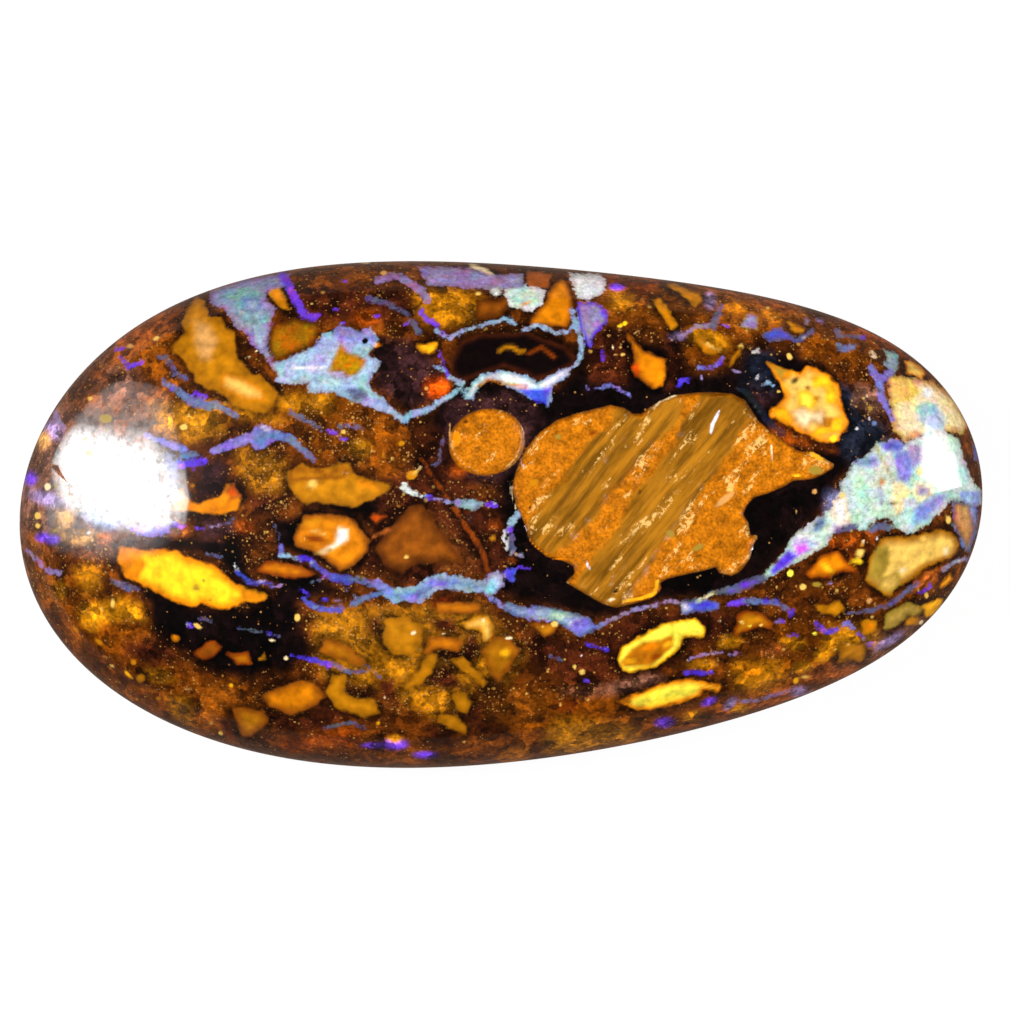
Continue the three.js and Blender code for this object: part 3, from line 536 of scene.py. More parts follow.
# Seams and pools of opal
opalMarks = {
    "areas": [
        ("mauve", "teal", 0.6, [
            -11.6, 9, -10, 9.5, -8.4, 9.6, -8.6, 9, -9.2, 8.9, -9.3, 8.5, -8.9, 8.2, -9.1, 7.6, -9.2, 6.6,
            -8.8, 5.5, -9.4, 6.3, -9.8, 6.7, -10.1, 7.2, -10.5, 7.4, -10.9, 8.1, -11.6, 8.4]),
        ("steel", "ice", 0.3, [-10.3, 8.6, -9.6, 8.6, -9.5, 8.1, -9.9, 7.9, -10.3, 8.2]),
        ("teal", "teal", 0.3, [-9.8, 8.1, -9.2, 8.1, -9.1, 7.6, -9.5, 7.5]),
        ("ice", "ice", 0.3, [  # pale pool
            -9, 5.9, -7.3, 6.7, -7, 7.2, -6.6, 7.2, -6.4, 7.5, -5.5, 7.2, -5.2, 7.4, -4.8, 6.9, -5.2, 6.3,
            -4.7, 6, -5, 5.6, -5.2, 5.2, -5, 4.8, -4.6, 4.6, -4.4, 4.3, -3.6, 3.7, -3.7, 3.5, -4.5, 4,
            -5.7, 4.4, -6.6, 4.8, -7.6, 4.8, -7.6, 5.2, -8.6, 5.1, -8.9, 5.3, -8.8, 5.5]),
        ("lilac", "mauve", 0.3, [
            -6.6, 7.3, -6.4, 7.5, -5.6, 7.2, -5.2, 7.4, -4.8, 6.9, -5.4, 6.8, -6.4, 6.9]),
        ("umber", "bronze", 0.35, [
            -8.9, 7.7, -8.6, 7.6, -8.1, 7.8, -7.3, 7.6, -7.1, 7.4, -7.3, 6.7, -8.9, 6, -9.2, 6.6, -9.2, 7]),
        ("bronze", "golden", 0.3, [
            -6.3, 6.8, -6, 6.4, -5.6, 6.3, -5.3, 6.1, -5.4, 5.8, -5.7, 5.5, -6, 5.4, -6.3, 5.6, -6.8, 5.6,
            -6.6, 6.2]),
        ("slate", "slate", 0.2, [-6.1, 5, -5.4, 5, -5.2, 4.6, -5.8, 4.4]),
        ("teal", "mint", 0.3, [-7.2, 5.5, -6.2, 5.4, -6.2, 5, -7.2, 5]),
        ("white", "mint", 0.3, [0.1, 9, 1, 9.1, 1.8, 8.9, 1.6, 8.3, 1.2, 8, 0.3, 8.2]),
        # pale band along the top edge: pale opal, lightened by painted reflection of the light on the steep
        # side
        ("mauve", "mauve", 0.3, [-3.3, 9.9, -1.2, 9.8, -0.2, 9.5, 0.9, 9.6, 0.9, 9, -0.2, 8.9, -2.9, 9.1]),
        ("white", "white", 0.2, [2.7, 9.6, 3.9, 9.6, 4.2, 9.3, 4.1, 8.8, 3.4, 8.5, 3, 8.6]),
        ("indigo", "mauve", 0.2, [3, 8.4, 3.7, 8.4, 4.2, 8.1, 4.2, 7.6, 3.7, 7.1, 3.5, 6.5, 3.1, 7.4]),
        ("ice", "white", 0.25, [  # body under the almond
            -1.1, 5.2, -0.8, 5.5, 0.1, 5.7, 1.2, 5.4, 1.4, 5.2, 2.5, 5.8, 2.8, 5.8, 2.6, 5.4, 2, 5, 2, 4.5,
            1.8, 4.2, 1.8, 4.5, 1.2, 4.5, 0.7, 4.8, -0.3, 5.3, -0.8, 5.1, -1.1, 4.5, -1.5, 4.6]),
        ("indigo", "blue", 0.2, [0.7, 4.9, 2, 5, 1.8, 4.3, 1.2, 4.5]),
        ("lilac", "steel", 0.3, [-9.9, 3.1, -9.6, 3.5, -9.4, 3.6, -8.4, 3.1, -9.6, 2.5, -9.9, 2.8]),
        ("olive", "mauve", 0.12, [9.4, 7.5, 9.8, 8, 10, 8, 10.2, 7.9, 10.2, 7.4, 10.1, 7.3, 9.5, 7.4]),
        ("slate", "blue", 0.15, [
            10.3, 7.1, 10.8, 7.4, 11.1, 7.4, 11.6, 7, 12, 7, 12, 6.8, 10.9, 6.9, 10.6, 6.8]),
        ("slate", "steel", 0.2, [8.2, 7.4, 8.3, 7.65, 8.5, 7.6, 8.55, 7.35, 8.35, 7.25]),
        ("teal", "teal", 0.2, [15.2, 6.6, 15.8, 6.4, 15.8, 5.9, 15.6, 5.6, 15.2, 5.9, 15.3, 6.3]),
        ("tan", "cream", 0.4, [  # cream opal of the narrow end
            15.3, 5.5, 15.9, 5.5, 17.2, 5.3, 18.1, 4.7, 18.7, 3.6, 18.4, 3.2, 17.5, 3.3, 16, 2.9, 15.5, 3.3]),
        ("straw", "straw", 0.3, [15.4, 5.4, 16.3, 5.4, 16.7, 4.9, 16.2, 4.5, 15.5, 4.4]),
        ("mint", "ice", 0.3, [16.4, 4.3, 16.9, 4.5, 17.3, 4.4, 17.7, 3.9, 17.6, 3.2, 16.9, 3.3, 16.5, 3.7]),
        ("mint", "mint", 0.4, [  # great pool
            13.8, 2, 14.4, 2.3, 14.8, 2.8, 15.4, 3, 16, 2.8, 16.9, 3.3, 17.6, 3.3, 18.2, 3, 18.4, 2.2,
            18.8, 1.3, 19.2, 0.9, 19.2, 0.4, 18.8, 0.3, 17.9, 0.6, 16.9, -0.4, 16.1, -0.8, 15.7, -0.6,
            15.3, -0.1, 14.8, -0.2, 14.4, -0.7, 14.1, -0.6, 14, -0.3, 13.7, -0.4, 13.2, -0.7, 12.8, -1.2,
            12.5, -1.4, 10.3, -2.6, 10.2, -2.4, 10.9, -1.8, 11.5, -0.8, 13.1, 0.3, 13.4, 1, 13.4, 1.3,
            13.8, 1.8]),
        ("ice", "steel", 0.3, [13.9, 2.1, 14.6, 2.4, 15, 2.3, 14.9, 1.9, 14.2, 1.8]),
        ("lilac", "blue", 0.3, [14.9, 2.8, 15.5, 3, 16, 2.8, 15.8, 2.4, 15.2, 2.5]),
        ("lilac", "lilac", 0.3, [15.5, 2.4, 16.2, 2.6, 16.3, 1.8, 16.1, 1.2, 15.7, 1.4]),
        ("mauve", "mauve", 0.3, [16.1, 2.8, 16.8, 2.7, 16.8, 2.2, 16.3, 1.8]),
        ("cream", "mauve", 0.3, [16.4, 1.3, 17.1, 1.2, 17.1, 0.8, 16.6, 0.5, 16.3, 0.8]),
        ("cream", "white", 0.3, [13.1, 0.6, 13.5, 0.9, 13.8, -0.3, 13.3, -0.4, 13, 0]),
        ("cream", "cream", 0.2, [15.5, 1.3, 15.9, 1.2, 16.3, 0.9, 15.9, 0.6, 15.9, 0.2, 15.6, 0, 15.4, 0.6]),
        ("ice", "lilac", 0.3, [16.6, 0.5, 17.3, 0.9, 17.8, 0.8, 16.9, -0.3, 16.2, -0.5, 16.3, 0.2]),
        ("lilac", "ice", 0.2, [18.2, 0.9, 19.1, 0.9, 19.1, 0.4, 18.4, 0.4]),
        ("teal", "steel", 0.2, [12.4, -0.2, 12.7, 0, 12.9, -0.3, 12.6, -0.7, 12.2, -0.7]),
        ("white", "lilac", 0.3, [11.5, -0.8, 12, -0.8, 12.7, -1.1, 12.4, -1.4, 11.4, -1.2]),
        ("magenta", "magenta", 0.2, [11.5, -1.2, 12, -1.15, 12.2, -1.4, 11.7, -1.6]),
        ("violet", "indigo", 0.2, [10.9, -1.8, 11.3, -1.4, 11.7, -1.6, 11.3, -2, 10.7, -2.4, 10.6, -2.2]),
        ("steel", "ice", 0.3, [17.9, 0.6, 19, 0.3, 19, -0.6, 18.7, -1.5, 18.3, -1.3, 18.2, -0.8, 17.9, -0.4]),
        ("haze", "tan", 0.3, [18, 0.5, 18.6, 0.4, 18.9, -0.5, 18.6, -1.4, 17.9, -0.3]),
        ("slate", "blue", 0.2, [18.75, 2.9, 19.1, 2.6, 19.1, 2, 18.85, 2.2]),
        ("lilac", "lilac", 0.3, [-14.9, -0.4, -13.2, -0.4, -13, -0.7, -13.6, -0.9, -14.4, -0.8]),
        ("teal", "ice", 0.3, [-2.1, 0.45, -1.75, 0.6, -1.05, 0.6, -0.6, 0.45, -1.05, 0.15]),
        ("lilac", "lilac", 0.1, [-2, 0.5, -1.7, 0.6, -1.5, 0.5, -1.7, 0.35]),
        ("blue", "indigo", 0.15, [0.1, -2.3, 0.2, -2.1, 0.6, -2.1, 0.5, -2.7, 0.3, -2.6]),
        ("ice", "steel", 0.3, [  # main seam, west
            -4.9, -2.8, -4.8, -2.6, -4.2, -2.9, -3.3, -2.8, -2.8, -2.4, -2.2, -2.3, -2, -2.4, -1.6, -2.4,
            -0.9, -2.6, -0.6, -2.5, -0.6, -3.1, -2.4, -2.9, -3.2, -3.5, -3.8, -3.4, -4.2, -3.5, -4.6, -3.2,
            -4.9, -3.1, -4.7, -3]),
        ("lilac", "blue", 0.2, [-2.95, -2.7, -2.75, -2.5, -2.5, -2.55, -2.6, -2.85]),
        ("lilac", "lilac", 0.2, [-4, -3.2, -3.3, -3.1, -3.3, -3.4, -3.9, -3.35]),
        ("mauve", "ice", 0.2, [
            -0.5, -2.3, -0.1, -2.2, 0.1, -2.4, 0.1, -2.8, -0.3, -3.2, -0.6, -3.2, -0.8, -3, -0.8, -2.8,
            -0.6, -2.7]),
        ("steel", "ice", 0.3, [  # main seam, middle
            0.1, -3.5, 0.2, -3.4, 0.8, -3.6, 1.8, -3.6, 3.4, -4, 3.7, -4.3, 4.2, -4.2, 4.2, -4.3, 3.1, -4.8,
            2.1, -4.2, 0.6, -4, 0.1, -3.7]),
        ("teal", "mint", 0.2, [1.9, -3.7, 2.6, -3.8, 2.6, -4.3, 1.9, -4.1]),
        ("lilac", "lilac", 0.2, [2.8, -4.1, 3.4, -4.1, 3.5, -4.4, 3.1, -4.7, 2.7, -4.5]),
        ("slate", "blue", 0.15, [7, -3.4, 8, -3.3, 8.4, -3.4, 8.6, -3.5, 8.6, -3.7, 8.4, -3.8, 7.1, -3.9]),
        ("ice", "white", 0.15, [7, -3.45, 7.3, -3.45, 7.5, -3.75, 7.15, -3.85]),
        ("blue", "indigo", 0.15, [7.7, -3.4, 8.5, -3.45, 8.5, -3.7, 7.8, -3.65]),
    ],
    "lines": [
        ("slate", (0.2,), [-13.55, 6.25, -13.2, 6.2, -12.85, 5.55, -12.45, 5.4]),
        ("steel", (0.2, 0.4, 0.35, 0.2), [-13.35, 5.3, -12.25, 4.5, -11.45, 4.25, -11.3, 4.35, -10.4, 3.9]),
        ("violet", (0.18,), [-12.1, 4.8, -11.65, 4.65]),
        ("violet", (0.15, 0.22, 0.15), [-15.1, 6.25, -14.8, 5.85, -14.2, 6.05]),
        ("mauve", (0.3, 0.15), [-17.75, 4, -17.35, 3.4]),
        ("violet", (0.35, 0.25, 0.2), [-8.7, 9.55, -7.9, 8.1, -7.65, 7.85, -7.35, 7.75, -7.2, 7.9]),
        ("white", (0.12, 0.08), [-8.15, 5.8, -7, 5.75]),
        ("slate", (0.25, 0.15), [-5.25, 8.55, -4.5, 8.35, -3.65, 7.9]),
        ("mauve", (0.3,), [-4.9, 9.25, -4.45, 9.45, -4.05, 9.45, -3.2, 8.9, -2.9, 8.5]),
        ("slate", (0.2, 0.15), [-8.3, 4.05, -7.05, 3.35]),
        ("slate", (0.16,), [-6.35, 3.45, -5.95, 3.5, -5.45, 3.4]),
        ("violet", (0.1,), [-6.8, 3.3, -6.05, 2.95]),
        ("violet", (0.12,), [-2.45, 6.45, -2.05, 5.4]),
        ("ice", (0.12, 0.2), [-2.65, 5.85, -2.35, 5.7]),
        ("ice", (0.12, 0.25), [-2.05, 5.4, -1.5, 5.15]),
        ("ice", (0.15, 0.2, 0.3), [-1.25, 4.75, -1.65, 4.9, -2.85, 4.15, -3.8, 3.8]),
        ("ice", (0.2, 0.12, 0.2), [-2.55, 7.25, -2, 6.95, -1.5, 7.25, -0.8, 7.45, 0.25, 7.75, 0.5, 7.55]),
        ("ice", (0.15,), [0.9, 7.3, 1.5, 7.5, 2.15, 7.15, 2.6, 7.2, 2.85, 7.4]),
        ("ice", (0.2, 0.15), [2.8, 8.05, 3.15, 6.95, 3.15, 6.2, 2.9, 5.85]),
        ("amber", (0.12,), [-0.9, 5.05, -0.5, 5.3, 1, 5]),
        ("violet", (0.2,), [-3.15, 8.05, -3, 7.75, -2.55, 7.5]),
        ("slate", (0.25,), [-3.5, 7.6, -3.25, 7.2]),
        ("lilac", (0.06,), [3.35, 5.05, 3.5, 4.9, 4.2, 5.05]),
        ("lilac", (0.2, 0.15, 0.1), [4, 4.95, 4.3, 5.1, 5.15, 4.65]),
        ("mauve", (0.1, 0.2, 0.2), [7.3, 7.15, 7.75, 7.45, 8.3, 7.45]),
        ("slate", (0.3, 0.2), [8.35, 7.45, 8.75, 8.25]),
        ("lilac", (0.15,), [7.8, 5.8, 8.35, 5.8, 8.75, 6.15]),
        ("indigo", (0.2,), [7, 5.1, 7.1, 5.3, 7.4, 5.3]),
        ("navy", (0.15, 0.3, 0.25), [9.3, 4.95, 9.7, 4.8, 10.5, 3.7, 11.1, 3.15]),
        ("ice", (0.08, 0.16, 0.08), [10.3, 5.1, 10.55, 5.2, 10.75, 5.1]),
        ("slate", (0.2,), [11.8, 6.95, 12.35, 7.3]),
        ("slate", (0.25,), [13.35, 7.3, 13.45, 7.1]),
        ("slate", (0.14,), [13.6, 7.1, 14.4, 7.05]),
        ("steel", (0.25,), [13.4, 6.7, 13.5, 6.55, 13.95, 6.65]),
        ("cream", (0.14,), [14.7, 6.45, 14.85, 6.25]),
        ("lilac", (0.25, 0.35), [14.65, 5.85, 15, 5.3]),
        ("lilac", (0.3,), [15, 5.3, 15.45, 5.65]),
        ("lilac", (0.35, 0.3, 0.15), [15, 5.3, 15, 4.75, 15.5, 3.75]),
        ("mauve", (0.12, 0.25), [-18.9, -1.4, -18.05, -2.2, -17.55, -2.3]),
        ("slate", (0.15, 0.3, 0.1), [-15.4, -2.6, -14.7, -2.9, -14.3, -2.95]),
        ("lilac", (0.2, 0.35, 0.35), [-14.05, 3.15, -12.5, 2.55]),
        ("steel", (0.25,), [-12.5, 2.3, -12, 2.35]),
        ("indigo", (0.35, 0.3), [-12.8, 1.95, -11.7, 2.1]),
        ("slate", (0.5, 0.3), [-13.1, 2.2, -12.9, 1.6, -12.9, 1.2]),
        ("lilac", (0.3, 0.45, 0.4, 0.4), [-11.3, 2.5, -9.95, 3]),
        ("steel", (0.4, 0.3, 0.35, 0.2), [-8.8, 3.1, -8.3, 3, -7.35, 2.15]),
        ("white", (0.06,), [-10.5, -1.95, -10.35, -2.15]),
        ("blue", (0.12, 0.22, 0.15), [-10.4, -2.25, -9.85, -2.7, -9.4, -2.65, -8.95, -2.8]),
        ("mauve", (0.12,), [-8.95, -2.8, -8.6, -2.8]),
        ("mauve", (0.09,), [-11.6, -0.5, -10.9, -0.35]),
        ("slate", (0.09,), [-10.75, -0.35, -10.5, -0.15]),
        ("slate", (0.09,), [-11.6, -1.55, -11, -1.65]),
        ("slate", (0.08,), [-8.9, -0.3, -8.7, -0.95]),
        ("lilac", (0.2,), [-8.65, -1.2, -8.65, -1.55]),
        ("ice", (0.14,), [-8.65, -1.6, -7.85, -1.75]),
        ("indigo", (0.22,), [-7.85, -1.7, -7.45, -1.75]),
        ("blue", (0.16, 0.3, 0.35), [-7.45, -1.9, -6.55, -2.5, -5.95, -2.55]),
        ("steel", (0.2, 0.25), [-5.95, -2.5, -4.7, -2.8]),
        ("lilac", (0.3, 0.4), [-4.85, -2.7, -4.4, -3]),
        ("steel", (0.25, 0.2), [-5.8, -3.5, -5.55, -3.35, -4.65, -3.05]),
        ("blue", (0.15, 0.25, 0.2), [-7.75, -3.3, -7.55, -3.5, -7.1, -3.7, -6.2, -3.75]),
        ("slate", (0.06,), [-7.45, -2.65, -7.05, -2.55]),
        ("white", (0.3, 0.2, 0.12), [-3.8, 1.1, -3.55, 0.9, -3, 0.75]),
        ("violet", (0.2, 0.14), [-2.9, 0.7, -2.6, 0.6]),
        ("mauve", (0.12,), [-2.6, 0.6, -2.05, 0.5]),
        ("slate", (0.14,), [-2.6, 1.95, -2.4, 2.1, -2.4, 2.6, -2.25, 2.95]),
        ("violet", (0.18,), [-0.55, 0.4, -0.15, 0.4]),
        ("ice", (0.25,), [0.75, 0.1, 0.4, -0.35]),
        ("white", (0.12,), [0.2, -0.55, 0.1, -0.85, 0.3, -1.5]),
        ("slate", (0.25,), [0.4, -0.85, 0.45, -1.45]),
        ("mauve", (0.14,), [0.45, -1.5, 0.85, -1.6]),
        ("violet", (0.1,), [0.7, -2.05, 1.1, -2.1]),
        ("lilac", (0.2, 0.15), [-0.35, -3.3, 0.1, -3.6]),
        ("lilac", (0.1, 0.14, 0.1), [1, -4.05, 1.95, -4.2]),
        ("mauve", (0.12, 0.15), [4, -4.3, 5.05, -3.8, 6.65, -3.4, 7, -3.45]),
        ("slate", (0.35, 0.35, 0.3, 0.15), [10.3, -2.5, 9.1, -2.95, 8.3, -3.1]),
        ("cream", (0.15, 0.1), [8.35, -3.1, 7.75, -3.4]),
        ("violet", (0.2, 0.3, 0.25), [9.05, -3.55, 9.65, -3.4]),
        ("steel", (0.25, 0.2, 0.2), [9.65, -3.4, 10.9, -3.45, 11.25, -3.7]),
        ("slate", (0.06, 0.14), [1.9, -5.55, 2.35, -5.75]),
        ("indigo", (0.14,), [3.4, -5.1, 4.2, -5.35]),
        ("indigo", (0.17,), [7.3, -6.25, 8.3, -6.25]),
        ("mauve", (0.1,), [7.4, -5.7, 8.05, -5.5, 8.75, -5.45]),
        ("mauve", (0.14,), [9.5, -7.4, 10.1, -7.4, 11.3, -7.05]),
        ("slate", (0.1, 0.14, 0.08), [-10.3, -4.45, -8.7, -4.8]),
        ("slate", (0.14,), [-11.9, -4.1, -11.45, -4.2]),
        ("indigo", (0.08, 0.16, 0.26), [-8.3, -5.5, -6.75, -5.9]),
        ("slate", (0.16,), [-6.6, -5.85, -6, -6.2, -5.35, -6.15]),
        ("slate", (0.1,), [-5.3, -5.95, -4.7, -6.45]),
        ("slate", (0.14,), [-6.95, -8.45, -5.95, -8.2, -5.4, -8.45]),
        ("indigo", (0.15, 0.2, 0.12), [12.4, -4.3, 12.85, -4.65, 13.35, -4.5]),
        ("lilac", (0.18,), [13.55, -4.35, 13.75, -4.3, 13.95, -4.5]),
        ("slate", (0.1, 0.2, 0.22), [13.65, -3.9, 14.65, -3.8, 15.5, -3.5, 16.45, -2.75]),
        ("mauve", (0.16,), [18.9, -1.7, 18.15, -1.85, 17.55, -2.2]),
        ("slate", (0.2,), [13.25, -0.65, 14, -0.45]),
        ("slate", (0.3,), [14.6, -0.6, 15, -0.45, 15.3, -0.5]),
        ("olive", (0.1, 0.12, 0.06), [14.8, 2.7, 15.55, 1.25]),
        ("slate", (0.05,), [14.95, 1.45, 15, 0.4]),
    ],
    "spots": [
        ("violet", -15.2, 6.6, 0.35, 0.15, 10), ("violet", -13, 4.95, 0.15, 0.15, 0),
        ("violet", -6.2, 9.25, 0.2, 0.12, 0), ("violet", -6.55, 8.1, 0.18, 0.12, 0),
        ("violet", -4.9, 7.85, 0.25, 0.16, 0), ("violet", -3.8, 7.5, 0.2, 0.15, 0),
        ("violet", -6.2, 7.55, 0.2, 0.12, 0), ("magenta", -8.35, 8.9, 0.12, 0.2, 0),
        ("white", -0.2, 8.8, 0.4, 0.35, 0), ("orange", 1, 8.35, 0.4, 0.12, 20),
        ("violet", -2.3, 7.15, 0.2, 0.12, 0), ("violet", 4, 6.3, 0.15, 0.35, 0),
        ("violet", 4.05, 8, 0.2, 0.35, 0), ("violet", 8.95, 7.45, 0.22, 0.12, -20),
        ("white", 10.1, 6.45, 0.35, 0.2, 25), ("white", 10.1, 5.4, 0.1, 0.2, -30),
        ("mauve", 12.15, 7.7, 0.22, 0.3, 0), ("mauve", 12.7, 7.7, 0.3, 0.2, -20),
        ("indigo", 14.4, 7.05, 0.2, 0.2, 0), ("white", 12, 7, 0.12, 0.1, 0),
        ("navy", 14.95, 4.9, 0.18, 0.14, 0), ("white", 16.95, 4.85, 0.4, 0.38, 0),
        ("violet", 8.05, 5.8, 0.3, 0.14, 0), ("violet", 8.65, 6, 0.15, 0.2, -30),
        ("magenta", -12.6, -0.45, 0.45, 0.2, -10), ("violet", -12.85, -0.4, 0.4, 0.2, 0),
        ("violet", -11.9, -0.55, 0.25, 0.12, 0), ("magenta", -14.3, -0.55, 0.4, 0.15, 0),
        ("magenta", -12.6, 1.9, 0.18, 0.14, 0), ("violet", -12.1, 1.8, 0.2, 0.12, 0),
        ("white", -9.35, 3.5, 0.3, 0.1, -20), ("white", -9.15, 3.35, 0.15, 0.08, 0),
        ("violet", -6.05, 2.95, 0.18, 0.12, -20), ("white", -9.4, -2.6, 0.18, 0.1, 0),
        ("ice", -7.45, -1.9, 0.14, 0.12, 0), ("magenta", -6.95, -2.4, 0.1, 0.1, 0),
        ("ice", -5.75, -3.2, 0.12, 0.15, 0), ("mauve", -6.1, -2.95, 0.25, 0.08, -20),
        ("indigo", -7.7, -3.05, 0.4, 0.13, -20), ("indigo", -6.9, -3.35, 0.2, 0.1, 0),
        ("mauve", -6.45, -3.4, 0.2, 0.07, 0), ("teal", -7.3, -3.6, 0.16, 0.14, 0),
        ("violet", -2.35, -2.75, 0.3, 0.1, 0), ("white", -0.2, 0.5, 0.12, 0.12, 0),
        ("navy", -1.2, -0.15, 0.15, 0.3, 0), ("violet", 0.35, -0.6, 0.38, 0.28, 0),
        ("lilac", 1.2, -3.8, 0.25, 0.2, 0), ("white", 1.6, -4.1, 0.4, 0.08, -10),
        ("white", 2.75, -4.25, 0.12, 0.12, 0), ("violet", -12.3, -4.35, 0.3, 0.16, -10),
        ("white", -12.4, -4.35, 0.12, 0.12, 0), ("violet", -6.85, -5.9, 0.35, 0.18, -10),
        ("magenta", -6.8, -5.95, 0.12, 0.1, 0), ("indigo", -9.1, -4.7, 0.25, 0.1, -20),
        ("violet", 3.35, -6.55, 0.25, 0.16, -30), ("violet", 9.6, -2.75, 0.35, 0.2, 10),
        ("violet", 10, -2.65, 0.2, 0.15, 20), ("violet", 9.05, -3, 0.2, 0.1, 0),
        ("indigo", 10.45, -3.4, 0.25, 0.18, 0), ("indigo", 10.9, -3.4, 0.2, 0.15, 0),
        ("indigo", 11.45, -3.85, 0.28, 0.35, 0), ("lilac", 10.95, -4.2, 0.22, 0.14, -20),
        ("indigo", 11.1, -4.2, 0.18, 0.16, 0), ("violet", 11.5, -4.75, 0.25, 0.1, 0),
        ("mauve", 9.2, -5.5, 0.35, 0.16, 0), ("violet", 7.45, -6.25, 0.25, 0.14, 0),
        ("violet", 8.15, -6.25, 0.2, 0.15, 0), ("magenta", 12.7, -4.55, 0.12, 0.1, 0),
        ("violet", 12.4, -4.3, 0.15, 0.14, 0), ("violet", 14.25, -4.75, 0.28, 0.18, -30),
        ("mauve", 14.4, -4.95, 0.12, 0.1, 0), ("violet", 14.65, -5.15, 0.28, 0.15, 0),
        ("blue", 15.5, -3.5, 0.3, 0.14, 20), ("violet", 16.75, -3.05, 0.25, 0.13, 0),
        ("violet", 17, -2.85, 0.15, 0.2, 0), ("white", 18.2, -1.85, 0.25, 0.1, 0),
        ("maroon", 15.45, 0.45, 0.32, 0.1, 0), ("tan", 15.05, 1.3, 0.2, 0.25, 0),
        ("night", 12.35, -0.4, 0.08, 0.1, 0), ("night", 12.5, -0.4, 0.09, 0.1, 0),
        ("lemon", 16.9, 1.95, 0.25, 0.25, 0), ("straw", 16.6, 1.7, 0.3, 0.3, 0),
        ("olive", -5.45, -2.45, 0.2, 0.15, 0), ("yellow", 13.45, 0.75, 0.2, 0.2, 0),
    ],
}

